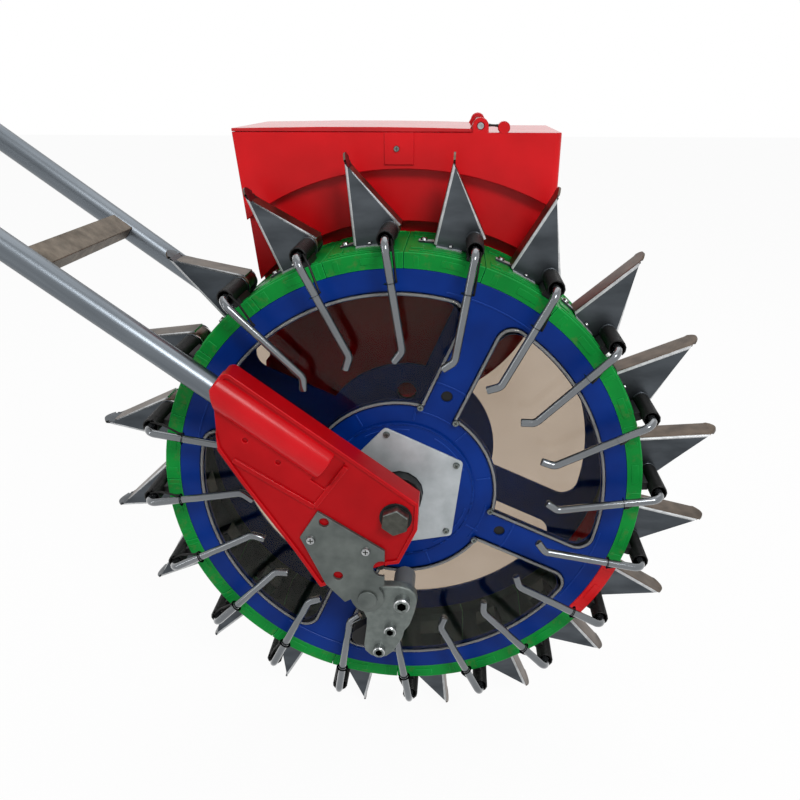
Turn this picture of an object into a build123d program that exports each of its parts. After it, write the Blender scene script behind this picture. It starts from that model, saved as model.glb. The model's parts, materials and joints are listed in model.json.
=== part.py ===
"""Walk-behind drum planter: a rolling drum with opening beaks, a hopper and a two-tube handle.

The origin is where the axle crosses the middle plane of the drum. +X is forward, +Z is up,
and -Y is the side with the tripping gear, called the near side.
"""

import os
from math import asin, atan2, cos, degrees, hypot, radians, sin, tan

from build123d import *

os.makedirs("parts", exist_ok=True)

# Drum and rim
rim_radius = 250.0
rim_width = 112.0
rim_depth = 15.4
rim_wall = 4.0
segment_gap = 0.5
unit_count = 20
first_unit_turn = -2.5
red_unit = 7
seat_gap = 0.15

# Side discs
disc_wall = 4.0
hub_radius = 78.0
hub_step = 3.5
spoke_count = 4
spoke_turn = 66.0
spoke_half = 21.0
window_inner = 102.0
window_outer = 208.0
window_corner = 18.0
window_lap = 5.0
window_wall = 2.0

# Hub, bearings and axle
axle_radius = 8.0
running_gap = 0.06
hub_clearance = 1.0
cap_radius = 24.0
cap_length = 15.5
hub_plate_radius = 75.0
hub_plate_wall = 2.5
hub_plate_turn = 101.3
hub_plate_corner = 5.0
bolt_flats = 22.0
bolt_head = 11.0
thread_end = 6.0

# Beaks
sheet = 2.0
beak_width = 32.0
beak_back_x = -37.0
beak_lean = 2.5
beak_length = 87.0
beak_tip_corner = 9.0
flange_apex = 73.0
pivot_rise = 14.0
ear_radius = 8.0
tab_length = 19.0
jaw_gap = 0.4
opening_length = 22.0
opening_width = 20.0
cup_depth = 22.0

# Tripping rods and springs
rod_radius = 4.0
rod_sides = 6
rod_plane = 82.0
rod_bend = 10.0
rod_inner_x = 11.5
rod_tip_x = 2.7
rod_tip_radius = 150.5
rod_tip_length = 10.8
spring_radius = 8.0
spring_bore = 4.8
spring_sides = 6
spring_gap = 0.4

# Arms that carry the axle
arm_gap = 3.0
arm_depth = 25.0
arm_wall = 4.0
arm_half = 23.0
arm_nose = 8.0
arm_front = (21.5, -12.0)
arm_lower = [(3, -52), (-8, -54), (-78, -84), (-103, -41), (-150, 33), (-172, 71)]
arm_hole_runs = (163.0, 125.0)
arm_hole_side = -22.0
boss_radius = 18.0
boss_gap = 0.5
head_recess = 15.5
socket_start = 72.0
socket_end = 216.0
socket_wall = 3.5
arm_rib_lines = [((-47, 55), (-80, 10)), ((-157, 59), (-80, 10))]
arm_rib_width = 5.0
arm_rib_height = 2.5

# Handle
tube_radius = 12.5
tube_wall = 1.5
tube_slope = 36.7
tube_start = 90.0
tube_joint = 522.0
tube_run = 880.0
tube_bend = 90.0
grip_rise = 8.0
grip_run = 190.0
spigot_length = 60.0
fit_gap = 0.1
bar_place = 410.0
bar_width = 25.0
bar_height = 15.0
grip_radius = 16.0
grip_length = 125.0
grip_end_wall = 4.0

# Tripping gear
trip_plate_wall = 4.0
trip_gap = 0.7
lever_wall = 12.0
pivot_x = -29.3
pivot_z = -94.8
pivot_pin_radius = 6.0
pivot_head_radius = 10.0
pivot_head = 3.0
lever_hub_radius = 15.0
lever_head = (6.0, -99.5)
lever_head_radius = 14.5
lever_mid_x = -6.5
lever_mid_short = 16.0
lever_foot_x = -19.0
lever_foot_past = 12.0
lever_foot_radius = 13.0
shoe_side_x = -39.0
shoe_side_past = 7.5
shoe_radius = 11.0
shoe_gap = 1.0
roller_radius = 11.5
roller_length = 34.0
trip_bolt_radius = 4.0
trip_bolt_head_radius = 6.0
trip_bolt_head = 4.0
plate_outline = [(-77, 6), (-11, -37), (-12, -78), (-53, -100), (-72, -79), (-96, -24)]
plate_holes = [(-71.0, -6.0), (-59.0, -68.0)]
plate_hole_radius = 5.0
plate_notch = (-14.0, -58.0)
plate_notch_radius = 9.0
nose_neck = (-40.0, -70.0)
nose_wall = 2.0

# Hopper and lid
hopper_left = -174.0
hopper_right = 154.0
bowl_x = -10.0
bowl_z = 215.0
bowl_radius = 163.0
hopper_wall = 3.0
hopper_gap = 5.0
hopper_neck = 25.0
hopper_front = 34.0
hopper_back = 190.0
slope_low = 165.0
slope_high = 240.0
arch_radius = 315.0
arch_step = 12.0
rim_clearance = 12.0
arch_cover = 35.0
feed_radius = 68.0
feed_hole_radius = 11.0
feed_hole_count = 4
spout_wall = 3.0
spout_gap = 0.7
lid_wall = 1.5
lid_crown = 1.5
lid_edge = 3.0
lid_gap = 0.4
hinge_x = 74.0
hinge_rise = 6.0
lug_radius = 8.0
lug_length = 6.0
lid_pin_radius = 3.4
lid_hole_radius = 3.46
stop_x = 97.0
stop_radius = 6.0
hopper_screw_radius = 2.5
hopper_boss_radius = 5.5
hopper_foot_radius = 9.0
hopper_foot_points = [(-125.0, 125.0), (-85.0, 105.0)]
shelf_drop = 9.0
shelf_run = 28.0
pad_width = 30.0
pad_height = 31.0
pad_x = -6.0
pad_step = 1.5

# Sides of small round pieces
round_sides = 16

# Places worked out from the sizes above
unit_pitch = 360 / unit_count
drum_half = rim_width / 2
rim_inner = rim_radius - rim_depth
disc_radius = rim_inner - seat_gap
hub_face = drum_half + hub_step
cap_face = hub_face + cap_length
arm_inner = rod_plane + rod_radius + arm_gap
arm_face = arm_inner + arm_depth
tube_y = arm_inner + socket_wall + tube_radius
beak_half = beak_width / 2
segment_turn = degrees(asin((beak_back_x - tab_length + ear_radius) / 2 / rim_radius))
lever_near = arm_face - trip_gap
lever_back = lever_near - lever_wall
pivot_radius = rim_radius + pivot_rise
rod_inner_radius = rod_tip_radius + rod_tip_length
lever_mid = (lever_mid_x, lever_mid_short - rod_tip_radius)
lever_foot = (lever_foot_x, -rod_tip_radius - lever_foot_past)
shoe_side = (shoe_side_x, -rod_tip_radius - shoe_side_past)
hopper_top = arch_radius + arch_cover


def side_plane(y):
    """Upright plane at this Y, facing the near side, with X to the right and Z up."""
    return Plane.XZ.offset(-y)


def save(piece, name):
    piece.label = name
    export_step(piece, f"parts/{name}.step")


def round_bar(radius):
    """Many-sided outline of a small round piece."""
    return RegularPolygon(radius, round_sides)


def round_bore(radius, mode=Mode.ADD):
    """Many-sided outline that clears a round piece of this radius."""
    return RegularPolygon(radius, round_sides, major_radius=False, mode=mode)


def unit_turn(index):
    return first_unit_turn + unit_pitch * index


def ring_of(piece, indices):
    """One copy of a piece at each of these units round the drum."""
    return [piece.rotate(Axis.Y, unit_turn(index)) for index in indices]


def along_tube(run, side=0.0):
    """X and Z of a point this far up the handle tubes from the axle, and beside them."""
    slope = radians(tube_slope)
    return (-run * cos(slope) + side * sin(slope), run * sin(slope) + side * cos(slope))


def window_sketch(lap):
    """Four window shapes between the spokes, grown by this lap."""
    with BuildSketch(mode=Mode.PRIVATE) as pane:
        Circle(window_outer + lap)
        Circle(window_inner - lap, mode=Mode.SUBTRACT)
        with Locations((spoke_half - lap, spoke_half - lap)):
            reach = window_outer + lap
            Rectangle(reach, reach, align=(Align.MIN, Align.MIN), mode=Mode.INTERSECT)
        corners = pane.vertices().group_by(SortBy.DISTANCE)[-1]
        fillet(corners, window_corner)
    return pane.sketch


# Side disc: plate with four windows and spokes, and a stepped hub
def make_disc(feed):
    with BuildPart() as disc:
        with BuildSketch(side_plane(disc_wall - drum_half)):
            Circle(disc_radius)
        extrude(amount=disc_wall)
        with BuildSketch(side_plane(disc_wall - drum_half)):
            Circle(hub_radius)
        extrude(amount=disc_wall + hub_step)
        with BuildSketch(side_plane(disc_wall - drum_half)):
            with PolarLocations(0, spoke_count, start_angle=spoke_turn):
                add(window_sketch(0))
            round_bore(axle_radius + hub_clearance)
            if feed:
                with PolarLocations(feed_radius, feed_hole_count):
                    round_bore(feed_hole_radius)
        extrude(amount=disc_wall + hub_step, mode=Mode.SUBTRACT)
    return disc.part


near_disc = make_disc(feed=False)
far_disc = mirror(make_disc(feed=True), about=Plane.XZ)
save(near_disc, "near_disc")
save(far_disc, "far_disc")

# Clear windows lapped over the disc's openings
with BuildPart() as near_windows:
    with BuildSketch(side_plane(-drum_half)):
        with PolarLocations(0, spoke_count, start_angle=spoke_turn):
            add(window_sketch(window_lap))
    extrude(amount=window_wall)
save(near_windows.part, "near_windows")
save(mirror(near_windows.part, about=Plane.XZ), "far_windows")

# Two bearing caps on the hubs, which carry the discs on the axle
with BuildPart() as near_bush:
    with BuildSketch(side_plane(-hub_face)):
        round_bar(cap_radius)
        round_bore(axle_radius + running_gap, Mode.SUBTRACT)
    extrude(amount=cap_length)
with BuildPart() as drum_bushes:
    add(near_bush.part)
    mirror(about=Plane.XZ)
save(drum_bushes.part, "drum_bushes")

# Five-sided steel plate on the near hub
with BuildPart() as hub_plate:
    with BuildSketch(side_plane(-hub_face)) as plate_shape:
        RegularPolygon(hub_plate_radius, 5, rotation=hub_plate_turn)
        fillet(plate_shape.vertices(), hub_plate_corner)
        round_bore(cap_radius + fit_gap, Mode.SUBTRACT)
    extrude(amount=hub_plate_wall)
save(hub_plate.part, "hub_plate")

# Rim segment at the top of the drum: an arched channel with the beak's opening
with BuildPart() as segment:
    half_angle = radians(unit_pitch / 2) - segment_gap / 2 / rim_radius
    reach = 2 * rim_radius
    wedge = [(0, 0), (reach * sin(half_angle), reach * cos(half_angle))]
    wedge.append((-wedge[1][0], wedge[1][1]))
    with BuildSketch(side_plane(drum_half)):
        Circle(rim_radius)
        Circle(rim_inner, mode=Mode.SUBTRACT)
        Polygon(*wedge, align=None, mode=Mode.INTERSECT)
    extrude(amount=rim_width)
    with BuildSketch(side_plane(drum_half - rim_wall)):
        Circle(rim_radius - rim_wall)
    extrude(amount=rim_width - 2 * rim_wall, mode=Mode.SUBTRACT)
    with BuildSketch(Plane.XY.offset(rim_inner)):
        Rectangle(opening_length, opening_width)
    extrude(amount=2 * rim_depth, mode=Mode.SUBTRACT)
segment_part = segment.part.rotate(Axis.Y, segment_turn)
green_units = [index for index in range(unit_count) if index != red_unit]
with BuildPart() as rim_segments:
    add(ring_of(segment_part, green_units))
save(rim_segments.part, "rim_segments")
save(segment_part.rotate(Axis.Y, unit_turn(red_unit)), "red_rim_segment")

# Seed cup under each opening: a scoop that is open to the rim and at its leading side
rim_sag = (opening_length / 2 + sheet) ** 2 / 2 / rim_radius
with BuildPart() as cup:
    cup_top = rim_radius - rim_wall - seat_gap - rim_sag
    cup_reach = opening_length / 2
    with BuildSketch(side_plane(opening_width / 2 + sheet)):
        Polygon(
            (-cup_reach - sheet, cup_top),
            (-cup_reach - sheet, cup_top - cup_depth),
            (cup_reach, cup_top - cup_depth),
            (cup_reach, cup_top),
            align=None,
        )
    extrude(amount=opening_width + 2 * sheet)
    with BuildSketch(side_plane(opening_width / 2)):
        with Locations((-cup_reach, cup_top)):
            Rectangle(
                opening_length, cup_depth - sheet, align=(Align.MIN, Align.MAX)
            )
    extrude(amount=opening_width, mode=Mode.SUBTRACT)
cup_part = cup.part.rotate(Axis.Y, segment_turn)
with BuildPart() as seed_cups:
    add(ring_of(cup_part, range(unit_count)))
save(seed_cups.part, "seed_cups")

# Fixed half of a beak: leaning back plate, two cheeks with hinge ears, and a foot on the rim
lean = radians(beak_lean)
seat_radius = rim_radius + seat_gap
beak_sag = beak_back_x**2 / 8 / rim_radius
base_turn = asin(beak_back_x / seat_radius)
base_z = seat_radius * cos(base_turn) + beak_sag
back_inset = sheet / cos(lean)
apex_x = beak_back_x - flange_apex * sin(lean)
apex_z = base_z + flange_apex * cos(lean)
apex_reach = hypot(apex_x + back_inset, apex_z - pivot_radius)
slant = atan2(-apex_x - back_inset, apex_z - pivot_radius) + asin(ear_radius / apex_reach)
ear_x = ear_radius * cos(slant)
ear_z = pivot_radius + ear_radius * sin(slant)
hole_radius = (rod_radius + fit_gap) / cos(radians(180 / rod_sides))
back_plane = Plane(
    origin=(beak_back_x, 0, base_z), x_dir=(0, 1, 0), z_dir=(cos(lean), 0, sin(lean))
)
foot_turn = asin((beak_back_x - tab_length / 2) / seat_radius)
foot_plane = Plane(
    origin=(seat_radius * sin(foot_turn), 0, seat_radius * cos(foot_turn)),
    x_dir=(cos(foot_turn), 0, -sin(foot_turn)),
    z_dir=(sin(foot_turn), 0, cos(foot_turn)),
)
with BuildPart() as beak:
    with BuildSketch(back_plane) as back_shape:
        Rectangle(beak_width, beak_length, align=(Align.CENTER, Align.MIN))
        chamfer(back_shape.vertices().group_by(Axis.Z)[-1], beak_tip_corner)
    extrude(amount=sheet)
    for cheek_y in (sheet - beak_half, beak_half):
        with BuildSketch(side_plane(cheek_y)):
            Polygon(
                (beak_back_x + back_inset, base_z),
                (apex_x + back_inset, apex_z),
                (ear_x, ear_z),
                (ear_radius, pivot_radius - ear_radius / 2),
                (0, seat_radius + beak_sag),
                align=None,
            )
            with Locations((0, pivot_radius)):
                RegularPolygon(hole_radius, rod_sides, mode=Mode.SUBTRACT)
        extrude(amount=sheet)
    with BuildSketch(foot_plane):
        Rectangle(tab_length + 2 * sheet, beak_width)
    extrude(amount=sheet)
with BuildPart() as fixed_beaks:
    add(ring_of(beak.part, range(unit_count)))
save(fixed_beaks.part, "fixed_beaks")

# Torsion spring on each rod, as the sleeve that its close turns fill
with BuildPart() as spring:
    with BuildSketch(side_plane(-beak_half - spring_gap)):
        with Locations((0, pivot_radius)):
            RegularPolygon(spring_radius, spring_sides)
            RegularPolygon(spring_bore, spring_sides, mode=Mode.SUBTRACT)
    extrude(amount=rod_plane - rod_bend - beak_half - spring_gap - rod_radius / 2)
with BuildPart() as spring_coils:
    add(ring_of(spring.part, range(unit_count)))
save(spring_coils.part, "spring_coils")

# Moving half of a beak: jaw plate and eye on a bent rod that trips it
jaw_inner = ear_radius + jaw_gap
face_x = jaw_inner * cos(slant)
face_z = pivot_radius + jaw_inner * sin(slant)
to_back = (face_x - beak_back_x) * cos(lean) + (face_z - base_z) * sin(lean)
jaw_length = (to_back - sheet - jaw_gap) / sin(slant - lean)
jaw_plane = Plane(
    origin=(face_x, 0, face_z), x_dir=(0, 1, 0), z_dir=(cos(slant), 0, sin(slant))
)
with BuildPart() as jaw:
    with BuildLine() as rod_path:
        Polyline(
            (0, beak_half + sheet, pivot_radius),
            (0, rod_bend - rod_plane, pivot_radius),
            (0, -rod_plane, pivot_radius - rod_bend),
            (rod_inner_x, -rod_plane, rod_inner_radius),
            (rod_tip_x, -rod_plane, rod_tip_radius),
        )
    with BuildSketch(side_plane(beak_half + sheet)):
        with Locations((0, pivot_radius)):
            RegularPolygon(rod_radius, rod_sides)
    sweep(path=rod_path.wires()[0], transition=Transition.RIGHT)
    with BuildSketch(side_plane(beak_half - sheet - jaw_gap)):
        with Locations((0, pivot_radius)):
            RegularPolygon(
                jaw_inner + sheet / 2, rod_sides, major_radius=False, rotation=-degrees(slant)
            )
    extrude(amount=beak_width - 2 * sheet - 2 * jaw_gap)
    with BuildSketch(jaw_plane) as jaw_shape:
        with Locations((0, -ear_radius / 2)):
            Rectangle(beak_width, jaw_length + ear_radius / 2, align=(Align.CENTER, Align.MIN))
        chamfer(jaw_shape.vertices().group_by(Axis.Z)[-1], beak_tip_corner / 2)
    extrude(amount=sheet)
for index in range(unit_count):
    save(jaw.part.rotate(Axis.Y, unit_turn(index)), f"jaw_lever_{index + 1:02d}")

# Arm: a moulded shell that joins the axle to a handle tube
arm_outline = [
    along_tube(socket_end, arm_half),
    along_tube(-arm_nose, arm_half),
    arm_front,
    *arm_lower,
    along_tube(socket_end, -arm_half / 2),
]
arm_holes = [along_tube(run, arm_hole_side) for run in arm_hole_runs]


def arm_sketch(inset):
    """Outline of the arm seen from the side, or the line this far inside it."""
    with BuildSketch(mode=Mode.PRIVATE) as shape:
        Polygon(*arm_outline, align=None)
        if inset:
            offset(amount=-inset, kind=Kind.INTERSECTION, mode=Mode.REPLACE)
    return shape.sketch


def tube_plane(run, y):
    """Plane across a handle tube, this far up from the axle, facing up the tube."""
    x, z = along_tube(run)
    slope = radians(tube_slope)
    return Plane(origin=(x, y, z), x_dir=(0, 1, 0), z_dir=(-cos(slope), 0, sin(slope)))


def arm_rib(start, end):
    """Low rib on the arm's face between two points."""
    run_x = end[0] - start[0]
    run_z = end[1] - start[1]
    with Locations((start[0] + run_x / 2, start[1] + run_z / 2)):
        Rectangle(hypot(run_x, run_z), arm_rib_width, rotation=degrees(atan2(run_z, run_x)))


with BuildSketch() as plate_seat:
    Polygon(*plate_outline, align=None)
    offset(amount=seat_gap, kind=Kind.INTERSECTION, mode=Mode.REPLACE)
with BuildPart() as near_arm:
    with BuildSketch(side_plane(-arm_inner)):
        add(arm_sketch(0))
    extrude(amount=arm_depth)
    with BuildSketch(side_plane(-arm_inner)):
        add(arm_sketch(arm_wall))
    extrude(amount=arm_depth - arm_wall, mode=Mode.SUBTRACT)
    with BuildSketch(side_plane(-arm_face)):
        add(arm_sketch(0))
        add(arm_sketch(arm_wall), mode=Mode.SUBTRACT)
        for start, end in arm_rib_lines:
            arm_rib(start, end)
        add(plate_seat.sketch, mode=Mode.SUBTRACT)
    extrude(amount=arm_rib_height)
    with BuildSketch(side_plane(-cap_face - boss_gap)):
        round_bar(boss_radius)
    extrude(amount=arm_face - cap_face - boss_gap)
    with BuildSketch(tube_plane(socket_start, -tube_y)):
        round_bar(tube_radius + socket_wall)
    extrude(amount=socket_end - socket_start)
    with BuildSketch(tube_plane(tube_start - fit_gap, -tube_y)):
        round_bore(tube_radius + fit_gap)
    extrude(amount=socket_end, mode=Mode.SUBTRACT)
    with BuildSketch(side_plane(-arm_face + arm_wall)):
        round_bore(head_recess)
    extrude(amount=arm_depth, mode=Mode.SUBTRACT)
    with BuildSketch(side_plane(0)):
        round_bore(axle_radius + running_gap)
        with Locations(*arm_holes):
            round_bore(hopper_screw_radius + fit_gap)
    extrude(amount=2 * arm_face, mode=Mode.SUBTRACT)
save(near_arm.part, "near_arm")
save(mirror(near_arm.part, about=Plane.XZ), "far_arm")

# Axle bolt with its head in the near arm, and its nut in the far arm
head_seat = arm_face - arm_wall
with BuildPart() as axle:
    with BuildSketch(side_plane(head_seat + bolt_head + thread_end)):
        round_bar(axle_radius)
    extrude(amount=2 * head_seat + bolt_head + thread_end)
    with BuildSketch(side_plane(-head_seat)):
        RegularPolygon(bolt_flats / 2, 6, major_radius=False)
    extrude(amount=bolt_head)
save(axle.part, "axle")
with BuildPart() as axle_nut:
    with BuildSketch(side_plane(head_seat + bolt_head)):
        RegularPolygon(bolt_flats / 2, 6, major_radius=False)
        round_bore(axle_radius + fit_gap, Mode.SUBTRACT)
    extrude(amount=bolt_head)
save(axle_nut.part, "axle_nut")

# Handle: lower tubes, upper tubes with a bend to the grips, and the bar between them
with BuildPart() as near_lower_tube:
    with BuildSketch(tube_plane(tube_start, -tube_y)):
        round_bar(tube_radius)
        RegularPolygon(tube_radius - tube_wall, round_sides, mode=Mode.SUBTRACT)
    extrude(amount=tube_joint - tube_start)
save(near_lower_tube.part, "near_lower_tube")
save(mirror(near_lower_tube.part, about=Plane.XZ), "far_lower_tube")

joint_x, joint_z = along_tube(tube_joint)
bend_x, bend_z = along_tube(tube_run)
bend_start = tube_bend * tan(radians(tube_slope - grip_rise) / 2)
start_x, start_z = along_tube(tube_run - bend_start)
rise_x = cos(radians(grip_rise))
rise_z = sin(radians(grip_rise))
end_x = bend_x - grip_run * rise_x
end_z = bend_z + grip_run * rise_z
with BuildPart() as near_upper_tube:
    with BuildLine() as upper_path:
        Polyline(
            (joint_x, -tube_y, joint_z),
            (start_x, -tube_y, start_z),
            (bend_x - bend_start * rise_x, -tube_y, bend_z + bend_start * rise_z),
            (end_x, -tube_y, end_z),
        )
    with BuildSketch(tube_plane(tube_joint, -tube_y)):
        round_bar(tube_radius)
        RegularPolygon(tube_radius - tube_wall, round_sides, mode=Mode.SUBTRACT)
    sweep(path=upper_path.wires()[0], transition=Transition.RIGHT)
    with BuildSketch(tube_plane(tube_joint - spigot_length, -tube_y)):
        round_bar(tube_radius - tube_wall - fit_gap)
    extrude(amount=2 * spigot_length)
save(near_upper_tube.part, "near_upper_tube")
save(mirror(near_upper_tube.part, about=Plane.XZ), "far_upper_tube")

grip_plane = Plane(
    origin=(end_x, -tube_y, end_z),
    x_dir=(0, 1, 0),
    z_dir=(cos(radians(grip_rise)), 0, -sin(radians(grip_rise))),
)
with BuildPart() as near_grip:
    with BuildSketch(grip_plane.offset(-grip_end_wall)):
        Circle(grip_radius)
    extrude(amount=grip_length)
    with BuildSketch(grip_plane):
        round_bore(tube_radius + fit_gap)
    extrude(amount=grip_length, mode=Mode.SUBTRACT)
save(near_grip.part, "near_grip")
save(mirror(near_grip.part, about=Plane.XZ), "far_grip")

bar_x, bar_z = along_tube(bar_place)
bar_plane = Plane(
    origin=(bar_x, -tube_y, bar_z),
    x_dir=(-cos(radians(tube_slope)), 0, sin(radians(tube_slope))),
    z_dir=(0, 1, 0),
)
with BuildPart() as crossbar:
    with BuildSketch(bar_plane):
        Rectangle(bar_width, bar_height)
        Rectangle(bar_width - 2 * tube_wall, bar_height - 2 * tube_wall, mode=Mode.SUBTRACT)
    extrude(amount=2 * tube_y)
    for y in (-tube_y, tube_y):
        with BuildSketch(tube_plane(bar_place - bar_width, y)):
            round_bore(tube_radius + fit_gap)
        extrude(amount=2 * bar_width, mode=Mode.SUBTRACT)
save(crossbar.part, "crossbar")

# Tripping gear: plate on the near arm, lever on its pin, shoe, roller and bolts
with BuildSketch() as plate_nose:
    with Locations((pivot_x, pivot_z)):
        round_bar(lever_hub_radius + nose_wall)
    with Locations(nose_neck):
        round_bar(lever_hub_radius)
    make_hull()
with BuildPart() as trip_plate:
    with BuildSketch(side_plane(-arm_face)) as plate_form:
        Polygon(*plate_outline, align=None)
        add(plate_nose.sketch)
        with Locations(plate_notch):
            round_bore(plate_notch_radius, Mode.SUBTRACT)
        with Locations((pivot_x, pivot_z)):
            round_bore(pivot_pin_radius + running_gap, Mode.SUBTRACT)
        with Locations(*plate_holes):
            round_bore(plate_hole_radius, Mode.SUBTRACT)
    extrude(amount=trip_plate_wall)
save(trip_plate.part, "trip_plate")
plate_face = arm_face + trip_plate_wall

with BuildPart() as trip_pivot:
    with BuildSketch(side_plane(-lever_back)):
        with Locations((pivot_x, pivot_z)):
            round_bar(pivot_pin_radius)
    extrude(amount=plate_face - lever_back)
    with BuildSketch(side_plane(-plate_face)):
        with Locations((pivot_x, pivot_z)):
            round_bar(pivot_head_radius)
    extrude(amount=pivot_head)
save(trip_pivot.part, "trip_pivot")

with BuildPart() as trip_lever:
    with BuildSketch(side_plane(-lever_back)):
        with Locations((pivot_x, pivot_z)):
            round_bar(lever_hub_radius)
        with Locations(lever_head):
            round_bar(lever_head_radius)
        with Locations(lever_foot):
            round_bar(lever_foot_radius)
        make_hull()
        with Locations((pivot_x, pivot_z)):
            round_bore(pivot_pin_radius + running_gap, Mode.SUBTRACT)
        with Locations(lever_head):
            round_bore(trip_bolt_radius + fit_gap, Mode.SUBTRACT)
    extrude(amount=lever_wall)
save(trip_lever.part, "trip_lever")

shoe_face = rod_plane + rod_radius + shoe_gap
with BuildPart() as trip_shoe:
    with BuildSketch(side_plane(-shoe_face)):
        for place in (lever_mid, lever_foot, shoe_side):
            with Locations(place):
                round_bar(shoe_radius)
        make_hull()
    extrude(amount=lever_back - shoe_face)
save(trip_shoe.part, "trip_shoe")

roller_far = lever_back - trip_gap - roller_length
with BuildPart() as trip_roller:
    with BuildSketch(side_plane(-roller_far)):
        with Locations(lever_head):
            round_bar(roller_radius)
            round_bore(trip_bolt_radius + running_gap, Mode.SUBTRACT)
    extrude(amount=roller_length)
save(trip_roller.part, "trip_roller")

# Bolt that the roller turns on, with a six-sided head at each end
with BuildPart() as roller_bolt:
    roller_end = roller_far - trip_gap
    with BuildSketch(side_plane(-roller_end)):
        with Locations(lever_head):
            round_bar(trip_bolt_radius)
    extrude(amount=lever_near - roller_end)
    for y in (-lever_near, trip_bolt_head - roller_end):
        with BuildSketch(side_plane(y)):
            with Locations(lever_head):
                RegularPolygon(trip_bolt_head_radius, 6)
        extrude(amount=trip_bolt_head)
save(roller_bolt.part, "roller_bolt")

# Hopper: a bin beside the far disc, with a bowl behind the disc and an arch over the rim
neck_front = drum_half + hopper_gap
neck_back = neck_front + hopper_neck


def bin_form(inset):
    """Outer form of the bin, or its inside when it is inset by the wall."""
    with BuildPart() as form:
        with BuildSketch(side_plane(hopper_back - inset)):
            with Locations((bowl_x, bowl_z)):
                Circle(bowl_radius - inset)
            Polygon(
                (hopper_left + inset, hopper_top),
                (hopper_right - inset, hopper_top),
                (bowl_x + bowl_radius - inset, bowl_z),
                (bowl_x - bowl_radius + inset, bowl_z),
                align=None,
            )
            with Locations((0, hopper_top)):
                Rectangle(
                    2 * rim_radius, hopper_top, align=(Align.CENTER, Align.MAX),
                    mode=Mode.INTERSECT,
                )
        extrude(amount=hopper_back - hopper_front - 2 * inset)
        with BuildSketch(Plane.YZ):
            Polygon(
                (hopper_front + inset, hopper_top),
                (hopper_front + inset, slope_low),
                (neck_front + inset, slope_low),
                (neck_front + inset, 0),
                (neck_back - inset, 0),
                (neck_back - inset, slope_low),
                (hopper_back - inset, slope_high),
                (hopper_back - inset, hopper_top),
                align=None,
            )
        extrude(amount=2 * rim_radius, both=True, mode=Mode.INTERSECT)
        for face_y, radius in (
            (hopper_front + arch_step, arch_radius),
            (neck_front, rim_radius + rim_clearance),
        ):
            with BuildSketch(side_plane(face_y + inset)):
                Circle(radius + inset)
            extrude(amount=neck_front, mode=Mode.SUBTRACT)
    return form.part


hinge_z = hopper_top + hinge_rise
deck_left = hinge_x + lug_radius + lid_gap
with BuildSketch() as foot_shape:
    with Locations(*arm_holes, *hopper_foot_points):
        round_bar(hopper_foot_radius)
    make_hull()
with BuildPart() as hopper:
    add(bin_form(0))
    add(bin_form(hopper_wall), mode=Mode.SUBTRACT)
    with BuildSketch(side_plane(hopper_back)):
        shelf_z = hopper_top - shelf_drop
        Polygon(
            (hopper_right - hopper_wall / 2, hopper_top),
            (deck_left, hopper_top),
            (deck_left, shelf_z),
            (deck_left - shelf_run, shelf_z),
            (deck_left - shelf_run, shelf_z - hopper_wall),
            (deck_left + hopper_wall, shelf_z - hopper_wall),
            (deck_left + hopper_wall, hopper_top - hopper_wall),
            (hopper_right - hopper_wall / 2, hopper_top - hopper_wall),
            align=None,
        )
    extrude(amount=hopper_back - hopper_front)
    for y in (hopper_front + lug_length, hopper_back):
        with BuildSketch(side_plane(y)):
            with Locations((hinge_x, hinge_z)):
                round_bar(lug_radius)
            with Locations((hinge_x, hopper_top - hopper_wall)):
                Rectangle(
                    2 * lug_radius, hinge_rise + hopper_wall, align=(Align.CENTER, Align.MIN)
                )
            with Locations((hinge_x, hinge_z)):
                round_bore(lid_pin_radius + fit_gap, Mode.SUBTRACT)
        extrude(amount=lug_length)
    with BuildSketch(side_plane(hopper_front + 2 * lug_length)):
        with Locations((stop_x, hopper_top + stop_radius - hopper_wall / 2)):
            round_bar(stop_radius)
    extrude(amount=2 * lug_length)
    with BuildSketch(side_plane(neck_front + hopper_wall)):
        with Locations((0, feed_radius)):
            round_bore(feed_hole_radius + spout_wall + fit_gap)
    extrude(amount=hopper_wall, mode=Mode.SUBTRACT)
    with BuildSketch(side_plane(hopper_front)):
        with Locations((pad_x, hopper_top - pad_height / 2)):
            Rectangle(pad_width, pad_height)
    extrude(amount=pad_step)
    with BuildSketch(side_plane(neck_back)):
        add(foot_shape.sketch)
    extrude(amount=hopper_wall)
    with BuildSketch(side_plane(arm_face - arm_wall - fit_gap)):
        with Locations(*arm_holes):
            round_bar(hopper_boss_radius)
    extrude(amount=arm_face - arm_wall - fit_gap - neck_back)
save(hopper.part, "hopper")

# Feed spout: a short pipe in the neck that leads the seed to the far disc
with BuildPart() as feed_spout:
    with BuildSketch(side_plane(neck_front + hopper_wall)):
        with Locations((0, feed_radius)):
            round_bar(feed_hole_radius + spout_wall)
            round_bore(feed_hole_radius, Mode.SUBTRACT)
    extrude(amount=hopper_wall + neck_front - hub_face - spout_gap)
save(feed_spout.part, "feed_spout")

# Lid: crowned cover with two eyes on the hinge pin
lid_left = hopper_left
lid_right = hinge_x - lug_radius - lid_gap
lid_base = hopper_top + lid_gap
eye_radius = lug_radius - lid_gap


def lid_profile(inset):
    """Crowned end view of the lid, or of the hollow under it."""
    left = lid_left + inset
    right = lid_right - inset
    shoulder = lid_base + lid_edge - inset
    with BuildSketch(mode=Mode.PRIVATE) as view:
        with BuildLine():
            Polyline((left, shoulder), (left, lid_base), (right, lid_base), (right, shoulder))
            ThreePointArc(
                (right, shoulder), ((left + right) / 2, shoulder + lid_crown), (left, shoulder)
            )
        make_face()
    return view.sketch


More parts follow.
